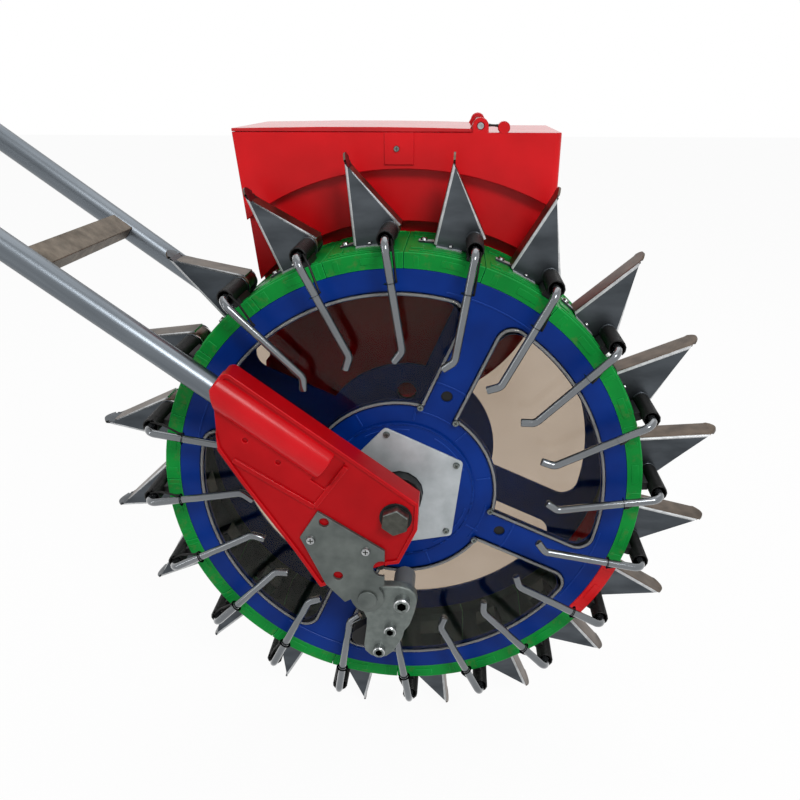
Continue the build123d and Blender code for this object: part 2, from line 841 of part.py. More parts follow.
with BuildSketch() as eye_shape:
    with Locations((hinge_x, hinge_z)):
        round_bar(eye_radius)
    with Locations((lid_right - lid_wall, lid_base + lid_edge / 2)):
        round_bar(lid_edge / 2 - lid_gap)
    make_hull()
with BuildPart() as lid:
    with BuildSketch(side_plane(hopper_back)):
        add(lid_profile(0))
    extrude(amount=hopper_back - hopper_front)
    with BuildSketch(side_plane(hopper_back - lid_wall)):
        add(lid_profile(lid_wall))
    extrude(amount=hopper_back - hopper_front - 2 * lid_wall, mode=Mode.SUBTRACT)
    for y in (hopper_front + 2 * lug_length + lid_gap, hopper_back - lug_length - lid_gap):
        with BuildSketch(side_plane(y)):
            add(eye_shape.sketch)
        extrude(amount=lug_length)
    with BuildSketch(side_plane(hopper_back)):
        with Locations((hinge_x, hinge_z)):
            round_bore(lid_hole_radius)
    extrude(amount=hopper_back - hopper_front, mode=Mode.SUBTRACT)
save(lid.part, "lid")

with BuildPart() as lid_pin:
    with BuildSketch(side_plane(hopper_back)):
        with Locations((hinge_x, hinge_z)):
            round_bar(lid_pin_radius)
    extrude(amount=hopper_back - hopper_front)
save(lid_pin.part, "lid_pin")
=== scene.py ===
import json
import math

import bmesh
import bpy
from mathutils import Matrix, Vector

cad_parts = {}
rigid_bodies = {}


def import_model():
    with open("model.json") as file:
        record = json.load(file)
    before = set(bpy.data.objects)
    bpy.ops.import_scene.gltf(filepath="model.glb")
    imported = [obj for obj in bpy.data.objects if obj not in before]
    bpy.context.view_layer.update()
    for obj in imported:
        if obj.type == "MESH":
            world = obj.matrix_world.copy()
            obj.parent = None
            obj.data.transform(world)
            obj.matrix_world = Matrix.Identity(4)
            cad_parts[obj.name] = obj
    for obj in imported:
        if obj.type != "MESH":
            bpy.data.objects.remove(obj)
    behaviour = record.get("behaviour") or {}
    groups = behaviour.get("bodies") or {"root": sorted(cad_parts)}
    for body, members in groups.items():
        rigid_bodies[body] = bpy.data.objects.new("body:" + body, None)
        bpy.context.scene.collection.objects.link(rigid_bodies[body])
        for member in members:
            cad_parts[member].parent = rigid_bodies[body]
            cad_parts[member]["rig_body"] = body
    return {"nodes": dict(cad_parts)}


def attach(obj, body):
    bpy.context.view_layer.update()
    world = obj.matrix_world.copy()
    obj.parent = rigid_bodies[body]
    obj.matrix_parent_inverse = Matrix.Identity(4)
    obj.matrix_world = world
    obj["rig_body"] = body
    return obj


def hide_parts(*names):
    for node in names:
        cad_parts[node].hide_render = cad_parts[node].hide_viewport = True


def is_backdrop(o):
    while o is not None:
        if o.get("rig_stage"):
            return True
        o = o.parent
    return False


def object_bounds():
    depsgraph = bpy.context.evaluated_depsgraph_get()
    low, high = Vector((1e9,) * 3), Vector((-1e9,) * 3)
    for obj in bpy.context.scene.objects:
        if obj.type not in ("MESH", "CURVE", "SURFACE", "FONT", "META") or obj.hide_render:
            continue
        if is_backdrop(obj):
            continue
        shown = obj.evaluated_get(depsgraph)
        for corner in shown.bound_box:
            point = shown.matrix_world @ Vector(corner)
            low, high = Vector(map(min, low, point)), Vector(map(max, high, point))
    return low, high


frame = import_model()
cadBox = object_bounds()
mm = 0.001  # sizes below are in millimetres, Blender's are in metres
facing = 0.9  # cosine from which a face or an edge counts as facing a direction
barEnds = 50  # degrees from which an edge of a round bar is at its end
print("frame loaded:", len(frame["nodes"]), "nodes")


def linearColour(code):
    channels = [int(code[i:i + 2], 16) / 255 for i in (1, 3, 5)]
    return [c / 12.92 if c <= 0.04045 else ((c + 0.055) / 1.055) ** 2.4 for c in channels] + [1.0]


def addNode(tree, kind, settings=None, inputs=None, links=None, stops=(), to=None):
    node = tree.nodes.new(kind)
    for key, value in (settings or {}).items():
        setattr(node, key, value)
    for key, value in (inputs or {}).items():
        node.inputs[key].default_value = value
    for key, socket in (links or {}).items():
        tree.links.new(socket, node.inputs[key])
    for index, (position, code) in enumerate(stops):  # colour ramps only
        node.color_ramp.elements[index].position = position
        node.color_ramp.elements[index].color = linearColour(code)
    if to is not None:
        tree.links.new(node.outputs[0], to)
    return node


def linkedObject(name, data):
    made = bpy.data.objects.new(name, data)
    bpy.context.scene.collection.objects.link(made)
    return made


def meshFrom(name, bm):
    mesh = bpy.data.meshes.new(name)
    bm.to_mesh(mesh)
    bm.free()
    return mesh


def asMesh(name, build):
    bm = bmesh.new()
    build(bm)
    return meshFrom(name, bm)


def newPiece(name, bm, materials, body, replaced=(), sharp=38):
    piece = linkedObject(name, meshFrom(name, bm))
    for material in materials:
        piece.data.materials.append(material)
    piece.data.shade_smooth()
    piece.data.set_sharp_from_angle(angle=math.radians(sharp))
    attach(piece, body)
    if replaced:
        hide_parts(*replaced)
    return piece


def flattenShading(piece):
    flat = piece.modifiers.new("flatFaces", "WEIGHTED_NORMAL")
    flat.keep_sharp = True


def everything(bm):
    return bm.verts[:] + bm.edges[:] + bm.faces[:]


def faceOutwards(bm):
    bmesh.ops.recalc_face_normals(bm, faces=bm.faces)


def paintFaces(faces, index):
    for face in faces:
        face.material_index = index


def joinFlats(bm, limit=0.6):
    bmesh.ops.dissolve_limit(bm, angle_limit=math.radians(limit), verts=bm.verts, edges=bm.edges)


def nodeCopy(node):
    bm = bmesh.new()
    bm.from_mesh(frame["nodes"][node].data)
    bmesh.ops.remove_doubles(bm, verts=bm.verts, dist=0.02 * mm)
    joinFlats(bm)
    paintFaces(bm.faces, 0)
    return bm


def roundOff(bm, geom, width, segments, affect="EDGES", clamp=True):
    return bmesh.ops.bevel(bm, geom=geom, offset=width * mm, offset_type="OFFSET", segments=segments,
                           profile=0.5, affect=affect, clamp_overlap=clamp, material=-1)["faces"]


# bevels the edges sharper than least degrees; index is the material of the new faces
def softenEdges(bm, width, segments=2, least=30, index=-1, pick=None):
    corners = [e for e in bm.edges if len(e.link_faces) == 2
               and e.calc_face_angle() > math.radians(least) and (pick(e) if pick else e.is_convex)]
    rounded = roundOff(bm, corners, width, segments, clamp=False)
    if index >= 0:
        paintFaces(rounded, index)


def cutAway(bm, tool):
    work = linkedObject("cutWork", bpy.data.meshes.new("cutWork"))
    cutter = linkedObject("cutTool", meshFrom("cutTool", tool))
    bm.to_mesh(work.data)
    cut = work.modifiers.new("cut", "BOOLEAN")
    cut.operation = "DIFFERENCE"
    cut.solver = "EXACT"
    cut.object = cutter
    result = bpy.data.meshes.new_from_object(work.evaluated_get(bpy.context.evaluated_depsgraph_get()))
    bm.clear()
    bm.from_mesh(result)
    for helper in (work, cutter):
        bpy.data.objects.remove(helper)


def trimBeyond(bm, place, normal):
    bmesh.ops.bisect_plane(bm, geom=everything(bm), dist=0.001 * mm, plane_co=place, plane_no=normal,
                           clear_outer=True)


def addRing(bm, radius, segments, place=Matrix()):
    return bmesh.ops.create_circle(bm, radius=radius * mm, segments=segments, matrix=place)["verts"]


def addBar(bm, radius, length, segments, place):
    bmesh.ops.create_cone(bm, cap_ends=True, segments=segments, radius1=radius * mm, radius2=radius * mm,
                          depth=length * mm, matrix=place)


def addBlock(bm, size, place):
    bmesh.ops.create_cube(bm, size=1.0, matrix=place @ Matrix.Diagonal([side * mm for side in size] + [1]))


def movedVerts(geom):
    return [g for g in geom if isinstance(g, bmesh.types.BMVert)]


def ringEdges(geom):
    verts = set(movedVerts(geom))
    return [g for g in geom if isinstance(g, bmesh.types.BMEdge) and set(g.verts) <= verts]


def pushRing(bm, ring, move, widen=1.0):
    geom = bmesh.ops.extrude_edge_only(bm, edges=ring)["geom"]
    verts = movedVerts(geom)
    if widen != 1.0:
        middle = sum((v.co for v in verts), Vector()) / len(verts)
        bmesh.ops.scale(bm, verts=verts, vec=(widen,) * 3, space=Matrix.Translation(-middle))
    bmesh.ops.translate(bm, verts=verts, vec=move)
    return ringEdges(geom)


def bendRing(bm, ring, centre, axis, degrees, steps, lead=(0, 0, 0)):
    corners = list(dict.fromkeys(v for e in ring for v in e.verts))
    geom = bmesh.ops.spin(bm, geom=ring + corners, cent=centre, axis=axis, dvec=lead,
                          angle=math.radians(degrees), steps=steps)["geom_last"]
    return ringEdges(geom)


def fillHoles(bm):
    bmesh.ops.holes_fill(bm, edges=[e for e in bm.edges if e.is_boundary], sides=0)


def closeEnds(bm):
    fillHoles(bm)
    faceOutwards(bm)


def extrudeFaces(bm, faces, move):
    verts = movedVerts(bmesh.ops.extrude_face_region(bm, geom=faces)["geom"])
    bmesh.ops.translate(bm, verts=verts, vec=move)
    return verts


def mirrorAcross(bm, merge):
    bmesh.ops.mirror(bm, geom=everything(bm), matrix=Matrix.Identity(4), merge_dist=merge, axis="Y")


def stamp(bm, mesh, place, index=None, size=1.0):
    copy = mesh.copy()
    copy.transform(place @ Matrix.Scale(size, 4))
    if index is not None:
        for face in copy.polygons:
            face.material_index = face.material_index or index
    bm.from_mesh(copy)
    bpy.data.meshes.remove(copy)


def aboutAxle(degrees):
    return Matrix.Rotation(math.radians(degrees), 4, "Y")


def standAlong(place, direction):
    return Matrix.Translation(place) @ direction.to_track_quat("Z", "Y").to_matrix().to_4x4()


def atPlace(x, y, z):
    return Matrix.Translation(Vector((x, y, z)) * mm)


# looking at the near side: x to the right, y up, z towards the camera
def nearFace(x, y, z):
    return atPlace(x, y, z) @ Matrix.Rotation(math.radians(90), 4, "X")


def polarNear(radius, degrees, y):
    turn = math.radians(degrees)
    return nearFace(radius * math.cos(turn), y, radius * math.sin(turn)) @ Matrix.Rotation(turn, 4, "Z")


# how large the patterns of the finishes are, in millimetres
patternSize = {"clouds": 60, "soil": 12, "rubs": 20, "ripple": 4, "patches": 35, "tint": 80, "haze": 25}


def startFinish(name, values):
    material = bpy.data.materials.new(name)
    material.use_nodes = True
    tree = material.node_tree
    shader = tree.nodes["Principled BSDF"]
    for key, value in values.items():
        shader.inputs[key].default_value = value
    return material, tree, shader, addNode(tree, "ShaderNodeTexCoord").outputs["Object"]


# moulded thermoplastic: full colour, satin gloss, slight cloudiness and a faint flow ripple
def mouldedPlastic(name, dark, light, rough, ior=1.49, sheen=0.25, ripple=0.12, soil=None):
    material, tree, shader, coords = startFinish(name, {"IOR": ior, "Specular IOR Level": sheen})
    clouds = addNode(tree, "ShaderNodeTexNoise", inputs={"Scale": 1000 / patternSize["clouds"], "Detail": 3},
                     links={"Vector": coords})
    paint = addNode(tree, "ShaderNodeValToRGB", links={"Fac": clouds.outputs["Fac"]},
                    stops=((0.3, dark), (0.68, light))).outputs["Color"]
    if soil:  # dry earth caught in patches, as a colour and its largest share
        patches = addNode(tree, "ShaderNodeTexNoise", links={"Vector": coords},
                          inputs={"Scale": 1000 / patternSize["soil"], "Detail": 7, "Roughness": 0.65})
        share = addNode(tree, "ShaderNodeMapRange", links={"Value": patches.outputs["Fac"]},
                        inputs={"From Min": 0.56, "From Max": 0.78, "To Max": soil[1]})
        paint = addNode(tree, "ShaderNodeMix", {"data_type": "RGBA"}, {7: linearColour(soil[0])},
                        {0: share.outputs["Result"], 6: paint}).outputs[2]  # 6 and 7 are the colour sockets
    tree.links.new(paint, shader.inputs["Base Color"])
    rubs = addNode(tree, "ShaderNodeTexNoise", inputs={"Scale": 1000 / patternSize["rubs"], "Detail": 4},
                   links={"Vector": coords})
    addNode(tree, "ShaderNodeMapRange", inputs={"To Min": rough[0], "To Max": rough[1]},
            links={"Value": rubs.outputs["Fac"]}, to=shader.inputs["Roughness"])
    # the real ripple is finer, drawn coarse enough to show
    skin = addNode(tree, "ShaderNodeTexNoise", inputs={"Scale": 1000 / patternSize["ripple"], "Detail": 2},
                   links={"Vector": coords})
    addNode(tree, "ShaderNodeBump", inputs={"Strength": ripple, "Distance": 0.25 * mm},
            links={"Height": skin.outputs["Fac"]}, to=shader.inputs["Normal"])
    return material


# plated, rolled or cast metal: a blurred grey mirror with streaks of the given size and duller patches
# along is the streaks' turn and stretch, film a clear passivation
def metalFinish(name, dark, light, rough, streak, along=(0.0, 1.0), metal=1.0, grain=0.04, film=0.0):
    material, tree, shader, coords = startFinish(name, {"Metallic": metal, "Coat Weight": film})
    drawn = addNode(tree, "ShaderNodeMapping", {"vector_type": "TEXTURE"}, links={"Vector": coords},
                    inputs={"Rotation": (0, math.radians(along[0]), 0), "Scale": (along[1], 1, 1)})
    lines = addNode(tree, "ShaderNodeTexNoise", inputs={"Scale": 1000 / streak, "Detail": 4},
                    links={"Vector": drawn.outputs["Vector"]})
    addNode(tree, "ShaderNodeValToRGB", links={"Fac": lines.outputs["Fac"]},
            stops=((0.3, dark), (0.7, light)), to=shader.inputs["Base Color"])
    patches = addNode(tree, "ShaderNodeTexNoise", links={"Vector": coords},
                      inputs={"Scale": 1000 / patternSize["patches"], "Detail": 4})
    addNode(tree, "ShaderNodeMapRange", inputs={"To Min": rough[0], "To Max": rough[1]},
            links={"Value": patches.outputs["Fac"]}, to=shader.inputs["Roughness"])
    addNode(tree, "ShaderNodeBump", inputs={"Strength": grain, "Distance": 0.3 * mm},
            links={"Height": lines.outputs["Fac"]}, to=shader.inputs["Normal"])
    return material


# clear thermoplastic sheet: a warm smoky tint and a trace of haze from handling
def clearSheet(name, tint, rough, ior, clear):
    material, tree, shader, coords = startFinish(name, {"Transmission Weight": clear, "IOR": ior})
    clouds = addNode(tree, "ShaderNodeTexNoise", inputs={"Scale": 1000 / patternSize["tint"], "Detail": 2},
                     links={"Vector": coords})
    addNode(tree, "ShaderNodeValToRGB", links={"Fac": clouds.outputs["Fac"]},
            stops=((0.3, tint[0]), (0.7, tint[1])), to=shader.inputs["Base Color"])
    haze = addNode(tree, "ShaderNodeTexNoise", inputs={"Scale": 1000 / patternSize["haze"], "Detail": 5},
                   links={"Vector": coords})
    addNode(tree, "ShaderNodeMapRange", inputs={"From Min": 0.35, "To Min": rough[0], "To Max": rough[1]},
            links={"Value": haze.outputs["Fac"]}, to=shader.inputs["Roughness"])
    return material


tubeLean = 36.7  # the tubes' rise, which their drawn streaks follow
redPlastic = mouldedPlastic("mouldedRedPolypropylene", "#a0040c", "#b40711", (0.28, 0.42),
                            sheen=0.12)  # deep red, soft gloss
redPaintedLight = mouldedPlastic("paintedLightRedPolypropylene", "#c4070f", "#d60b15", (0.3, 0.44))  # the arms' red painted lighter, as painted light
redSatin = mouldedPlastic("satinRedPolypropylene", "#b4161c", "#c41f24", (0.13, 0.2),
                          ripple=0.02)  # soft gloss, pale at a glancing view
redEdgeHighlight = mouldedPlastic("highlightRedPolypropylene", "#b40a13", "#c8111b", (0.2, 0.27),
                         sheen=0.18)  # a little paler: painted highlight on edges and the barrel
bluePlastic = mouldedPlastic("mouldedBluePolypropylene", "#00246c", "#012f82", (0.3, 0.45),
                             sheen=0.12)  # royal blue
blueRibHighlight = mouldedPlastic("highlightBluePolypropylene", "#123f9c", "#2653b2", (0.3, 0.45))  # paler rib crests, a painted highlight
greenPlastic = mouldedPlastic("mouldedGreenPolypropylene", "#03742b", "#068d35", (0.34, 0.5), sheen=0.12,
                              soil=("#6b5a3a", 0.5))  # grass green with dry earth on it
greenEdgeHighlight = mouldedPlastic("highlightGreenPolypropylene", "#0a8a38", "#1a9e48", (0.36, 0.54),
                           sheen=0.15)  # paler edges, a painted highlight
shadeInsideGreen = mouldedPlastic("shadeInsideGreenPolypropylene", "#2c4440", "#3a5450", (0.36, 0.52))  # grey-green, dark as painted shade inside the drum
greyNylon = mouldedPlastic("mouldedGreyNylon", "#5a5d5e", "#6c6f70", (0.36, 0.52), 1.53)  # plain mid grey
blackNylon = mouldedPlastic("mouldedBlackNylon", "#0a0a0b", "#121213", (0.36, 0.52), 1.53)  # soft black sheen
gripRubber = mouldedPlastic("mouldedBlackRubber", "#0f0f10", "#191919", (0.6, 0.8), 1.52)  # dull black
springSteel = mouldedPlastic("blackEnamelWire", "#030303", "#080808", (0.34, 0.5), 1.5, 0.2)  # soot black
beakSteel = metalFinish("rolledSheetSteel", "#3c4044", "#54595e", (0.26, 0.4), 18, (0, 3))  # slate-grey satin
backSteel = metalFinish("earthStainedSheetSteel", "#463c33", "#66594d", (0.3, 0.46), 14)  # warm brown cast
cutSteel = metalFinish("shearedSteelEdge", "#b0b1b2", "#d8d9da", (0.2, 0.34), 5)  # bright cut edges
foldHighlightSteel = metalFinish("highlightSteelFold", "#a4a6a8", "#c4c6c8", (0.32, 0.46), 6, metal=0.3)  # pale folds, a painted highlight
rodSteel = metalFinish("brightZincRod", "#5c6064", "#6c7074", (0.14, 0.2), 60, metal=0.85, grain=0.0,
                       film=1.0)  # grey bars with bright glints
screwZinc = metalFinish("brightZincScrew", "#8f9192", "#bfc1c2", (0.2, 0.36), 4)  # bright plated heads
screwDull = metalFinish("dullZincScrew", "#5c6260", "#848a87", (0.3, 0.46), 4)  # greenish plated heads; also painted light on the axle bolt's upper flats and painted shade on the cap screws' faces
tubeSteel = metalFinish("galvanisedTube", "#5e646a", "#72787e", (0.3, 0.38), 9, (tubeLean, 14),
                        grain=0.0)  # cool grey
barSteel = metalFinish("bareMillBar", "#4f473d", "#756b5f", (0.42, 0.6), 14, metal=0.85)  # brown mill scale
plateZinc = metalFinish("paleZincPlate", "#a2a9ac", "#bcc3c6", (0.4, 0.55), 20, metal=0.35)  # nearly matt
tripZinc = metalFinish("dullZincPlate", "#4f5553", "#666c69", (0.42, 0.56), 18, metal=0.6)  # grey-green, dull
castAlloy = metalFinish("castAluminium", "#5f6663", "#727976", (0.4, 0.55), 7, metal=0.6,
                        grain=0.1)  # grey, grainy
darkBoltAndShade = metalFinish("oiledBlackBoltAndShade", "#34352f", "#494a43", (0.36, 0.5), 6, metal=0.5)  # dull grey-green; also painted shade in screw recesses and sockets
# faint tan smoke; the index is below the sheet's own, so the pale studio mirrors less in it
clearPet = clearSheet("clearPetSheet", ("#cbc1b6", "#d6cdc3"), (0.01, 0.07), 1.2, 1.0)
clearBead = clearSheet("mouldedClearBead", ("#dfe2e6", "#f0f2f5"), (0.02, 0.08), 1.49, 0.8)  # whitish lines, a painted highlight along the beads
print("materials made:", len(bpy.data.materials))

# everything that repeats round the drum uses these
drum = {"units": 20, "pitch": 18.0, "firstTurn": -2.5, "moduleTurn": -5.5, "redUnit": 7, "pivot": 264.0}


def unitTurn(unit):
    return drum["firstTurn"] + drum["pitch"] * unit


def repeatRound(bm):
    copies = drum["units"] - 1
    bmesh.ops.spin(bm, geom=everything(bm), cent=(0, 0, 0), axis=(0, 1, 0), steps=copies,
                   angle=math.radians(drum["pitch"] * copies), use_duplicate=True)
    bmesh.ops.transform(bm, matrix=aboutAxle(drum["firstTurn"]), verts=bm.verts)


def turnedRing(bm, low, high, start, stop, segments):
    corners = [bm.verts.new(Vector((radius, 0, rise)) * mm)
               for radius, rise in ((low, start), (high, start), (high, stop), (low, stop))]
    edges = [bm.edges.new((corners[k], corners[(k + 1) % 4])) for k in range(4)]
    bmesh.ops.spin(bm, geom=edges + corners, cent=(0, 0, 0), axis=(0, 0, 1), angle=2 * math.pi,
                   steps=segments, use_merge=True)
    faceOutwards(bm)


# a section swept about the axle; first is the turn it starts from
def sweepSection(bm, corners, first, axis, degrees, steps, merge=False):
    turn = Matrix.Rotation(math.radians(-first), 3, "Y")
    section = bm.faces.new([bm.verts.new(turn @ Vector(corner) * mm) for corner in corners])
    bmesh.ops.spin(bm, geom=[section, *section.edges, *section.verts], cent=(0, 0, 0), axis=axis,
                   angle=math.radians(degrees), steps=steps, use_merge=merge)


# plain solids: the CAD shape with softened edges
# a second material is for the edges, painted paler as a highlight, a third for the faces inside the drum,
# painted dark as shade
dressing = {
    "far_disc": ("farDiscPlate", [bluePlastic], "blue_plastic", 0.8, 2),
    "rim_segments": ("rimModules", [greenPlastic, greenEdgeHighlight, shadeInsideGreen], "green_plastic", 0.7, 2),
    # the red module in the lighter red, painted light
    "red_rim_segment": ("redRimModule", [redPaintedLight, redEdgeHighlight], "red_plastic", 0.7, 2),
    # the seed cups are painted dark as shade inside the drum
    "seed_cups": ("seedCups", [shadeInsideGreen], "green_plastic", 0.4, 1),
    "feed_spout": ("feedSpout", [blackNylon], "black_nylon", 0.4, 1),
    "drum_bushes": ("bearingCaps", [blackNylon], "black_nylon", 1.2, 2),
    "hub_plate": ("hubPlate", [plateZinc], "plate_steel", 0.5, 2),
    "trip_plate": ("tripPlate", [tripZinc], "zinc_steel", 0.5, 2),
    "trip_shoe": ("tripShoe", [blackNylon], "black_nylon", 1.5, 2),
    "trip_roller": ("tripRoller", [greyNylon], "black_nylon", 1.2, 2),
    "trip_pivot": ("tripPivot", [tripZinc], "zinc_steel", 0.8, 2),
    "crossbar": ("crossbarTube", [barSteel], "bare_bar", 1.2, 2),
    "near_lower_tube": ("nearLowerTube", [tubeSteel], "galvanised_tube", 0, 0),
    "far_lower_tube": ("farLowerTube", [tubeSteel], "galvanised_tube", 0, 0),
    "near_upper_tube": ("nearUpperTube", [tubeSteel], "galvanised_tube", 0, 0),
    "far_upper_tube": ("farUpperTube", [tubeSteel], "galvanised_tube", 0, 0),
    "lid": ("hopperLid", [redSatin, redEdgeHighlight], "red_plastic", 0.5, 2),
    "lid_pin": ("lidPin", [screwZinc], "zinc_steel", 0.4, 1),
    "axle_nut": ("axleNut", [darkBoltAndShade], "zinc_steel", 0.8, 2),
    "roller_bolt": ("rollerBolt", [screwZinc], "zinc_steel", 0.5, 2),
}
shadedInsideFace = {"towardsAxle": 0.7, "towardsMiddle": 40.0}  # which faces inside the drum get the painted shade
for node, (name, materials, slotName, edge, segments) in dressing.items():
    solid = nodeCopy(node)
    if edge:
        softenEdges(solid, edge, segments, index=1 if len(materials) > 1 else -1)
    # faces inside the drum take the third material, a painted shade
    for face in solid.faces if len(materials) > 2 else ():
        place = face.calc_center_median()
        outward = Vector((place.x, 0, place.z)).normalized()
        facesAxle = face.normal.dot(outward) < -shadedInsideFace["towardsAxle"]
        if facesAxle or face.normal.y * place.y < -shadedInsideFace["towardsMiddle"] * mm:
            face.material_index = 2
    flattenShading(newPiece(name, solid, materials, frame["nodes"][node]["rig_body"], [node]))
print("plain solids dressed:", len(dressing))

# arms: the top lip stands out, the outer end is trimmed upright with a rounded corner,
# and a stout barrel holds the tube
arm = {"end": -171.0, "edge": 0.8, "lipFrom": 18.6, "lipOut": 4.0, "cornerRun": 216.0, "half": 23.0,
       "outerRound": 7.0, "innerRound": 4.0, "outerReach": 1.2, "innerReach": 9.0, "face": -114.0,
       "gap": (20.0, 36.4), "gapOut": 8.0, "seat": 15.6, "seatSides": 40, "seatFloor": -110.0, "sink": 0.04,
       "holes": ((-143.8, 79.8), (-113.4, 57.1)), "plug": 2.7, "plugSides": 16, "plugDeep": 1.4,
       "plugIn": 0.8, "fillRound": 0.02}
barrel = {"radius": 18.5, "sides": 40, "lift": 3.0, "y": -105.5, "inner": -90.0, "from": 86.0, "to": 217.0,
          "rib": 73.5, "round": 2.2, "lap": 4.0, "ribLap": 2.0, "bore": 12.8, "boreSides": 32,
          "boreLong": 200.0, "boreMiddle": 190.0, "boreY": -105.0}
upTube = Matrix.Rotation(math.radians(tubeLean), 3, "Y") @ Vector((0, 0, 1))  # square to the tube, upwards
alongTube = Vector((-upTube.z, 0, upTube.x))


def onTube(run, side, y):
    return (alongTube * run + upTube * side + Vector((0, y, 0))) * mm


def makeBarrel(bm):
    addRing(bm, barrel["radius"], barrel["sides"],
            standAlong(onTube(barrel["from"], barrel["lift"], barrel["y"]), alongTube))
    pushRing(bm, bm.edges[:], alongTube * (barrel["to"] - barrel["from"]) * mm)
    closeEnds(bm)
    trimBeyond(bm, (arm["end"] * mm, 0, 0), (-1, 0, 0))
    closeEnds(bm)
    trimBeyond(bm, (0, barrel["inner"] * mm, 0), (0, 1, 0))
    closeEnds(bm)
    softenEdges(bm, barrel["round"], 3, barEnds)
    bore = bmesh.new()
    addBar(bore, barrel["bore"], barrel["boreLong"], barrel["boreSides"],
           standAlong(onTube(barrel["boreMiddle"], 0, barrel["boreY"]), alongTube))
    cutAway(bm, bore)


def inBarrel(place):
    side, deep = place.dot(upTube) / mm - barrel["lift"], abs(place.y / mm) + barrel["y"]
    beyondRib = place.dot(alongTube) > (barrel["rib"] - barrel["ribLap"]) * mm
    return side * side + deep * deep < barrel["radius"] ** 2 and beyondRib


barrelMesh = asMesh("socketBarrel", makeBarrel)
for node, name, flip in (("near_arm", "nearArmShell", 1), ("far_arm", "farArmShell", -1)):
    shell = nodeCopy(node)
    sides = Matrix.Diagonal((1, flip, 1, 1))
    gap, gapEnd = bmesh.new(), barrel["from"] + barrel["lap"]
    gapPlace = onTube((barrel["rib"] + gapEnd) / 2, 0, arm["face"] - arm["gapOut"])
    addBlock(gap, (gapEnd - barrel["rib"], *arm["gap"]),
             sides @ Matrix.Translation(gapPlace) @ Matrix.Rotation(math.radians(tubeLean), 4, "Y"))
    faceOutwards(gap)
    cutAway(shell, gap)
    for vert in shell.verts:
        if vert.co.dot(upTube) > arm["lipFrom"] * mm:
            vert.co += upTube * arm["lipOut"] * mm
    trimBeyond(shell, (arm["end"] * mm, 0, 0), (-1, 0, 0))
    fillHoles(shell)
    joinFlats(shell)
    corner = onTube(arm["cornerRun"], arm["half"] + arm["lipOut"], 0)
    across = {"innerRound": [], "outerRound": []}
    for edge in shell.edges:
        reach = max((Vector((v.co.x, 0, v.co.z)) - corner).length / mm for v in edge.verts)
        through = abs(edge.verts[0].co.y - edge.verts[1].co.y) > facing * edge.calc_length()
        if through and reach < arm["innerReach"]:
            across["outerRound" if reach < arm["outerReach"] else "innerRound"].append(edge)
    for size, edges in across.items():
        roundOff(shell, edges, arm[size], segments=6)
    # the arms' edges in the paler red, a painted highlight
    softenEdges(shell, arm["edge"], index=1,
                pick=lambda e: e.is_convex and not all(inBarrel(v.co) for v in e.verts))
    # the barrel in the paler red, a painted highlight
    stamp(shell, barrelMesh, sides, 1)
    faceOutwards(shell)
    flattenShading(newPiece(name, shell, [redPlastic, redEdgeHighlight], "frame", [node]))
    print("arm dressed:", name, "corner edges", [len(edges) for edges in across.values()])

# near arm: seat under the axle head and the blind ends of the screw holes
armFill, seatBack = bmesh.new(), arm["face"] - arm["sink"]
addBar(armFill, arm["seat"], arm["seatFloor"] - seatBack, arm["seatSides"],
       nearFace(0, (arm["seatFloor"] + seatBack) / 2, 0))
for x, z in arm["holes"]:
    addBar(armFill, arm["plug"], arm["plugDeep"], arm["plugSides"],
           nearFace(x, arm["seatFloor"] - arm["plugIn"], z))
softenEdges(armFill, arm["fillRound"], 1, barEnds)
newPiece("armSeatAndPlugs", armFill, [redPlastic], "frame")
print("arms trimmed")

# hopper: leaning left wall, rounded front corner, satin deck and edges painted paler as a highlight
hopper = {"front": 34.5, "top": 350.0, "deckFrom": 349.0, "right": 154.0, "corner": 7.0, "cornerReach": 26.0,
          "cornerLow": 180.0, "cornerTall": 40.0, "edge": 0.9, "lean": 0.09, "leanFrom": 60.0,
          "leanFull": 170.0}
binShell = nodeCopy("hopper")
for vert in binShell.verts:
    share = (-vert.co.x / mm - hopper["leanFrom"]) / (hopper["leanFull"] - hopper["leanFrom"])
    vert.co.x += min(max(share, 0), 1) * hopper["lean"] * (hopper["top"] * mm - vert.co.z)


def nearCorner(place):
    x, y, z = place / mm
    return (abs(x - hopper["right"]) < hopper["cornerReach"] and y < hopper["front"]
            and z > hopper["cornerLow"])


upright = [e for e in binShell.edges if all(nearCorner(v.co) for v in e.verts)
           and abs(e.verts[0].co.z - e.verts[1].co.z) > hopper["cornerTall"] * mm]
roundOff(binShell, upright, hopper["corner"], segments=5)
# the hopper's edges in the paler red, a painted highlight
softenEdges(binShell, hopper["edge"], index=1)
paintFaces([f for f in binShell.faces if f.normal.z > facing
            and f.calc_center_median().z > hopper["deckFrom"] * mm], 2)
# the hopper in the lighter red, painted light
flattenShading(newPiece("hopperBin", binShell, [redPaintedLight, redEdgeHighlight, redSatin], "frame",
                        ["hopper"]))
print("hopper dressed, corner edges:", len(upright))

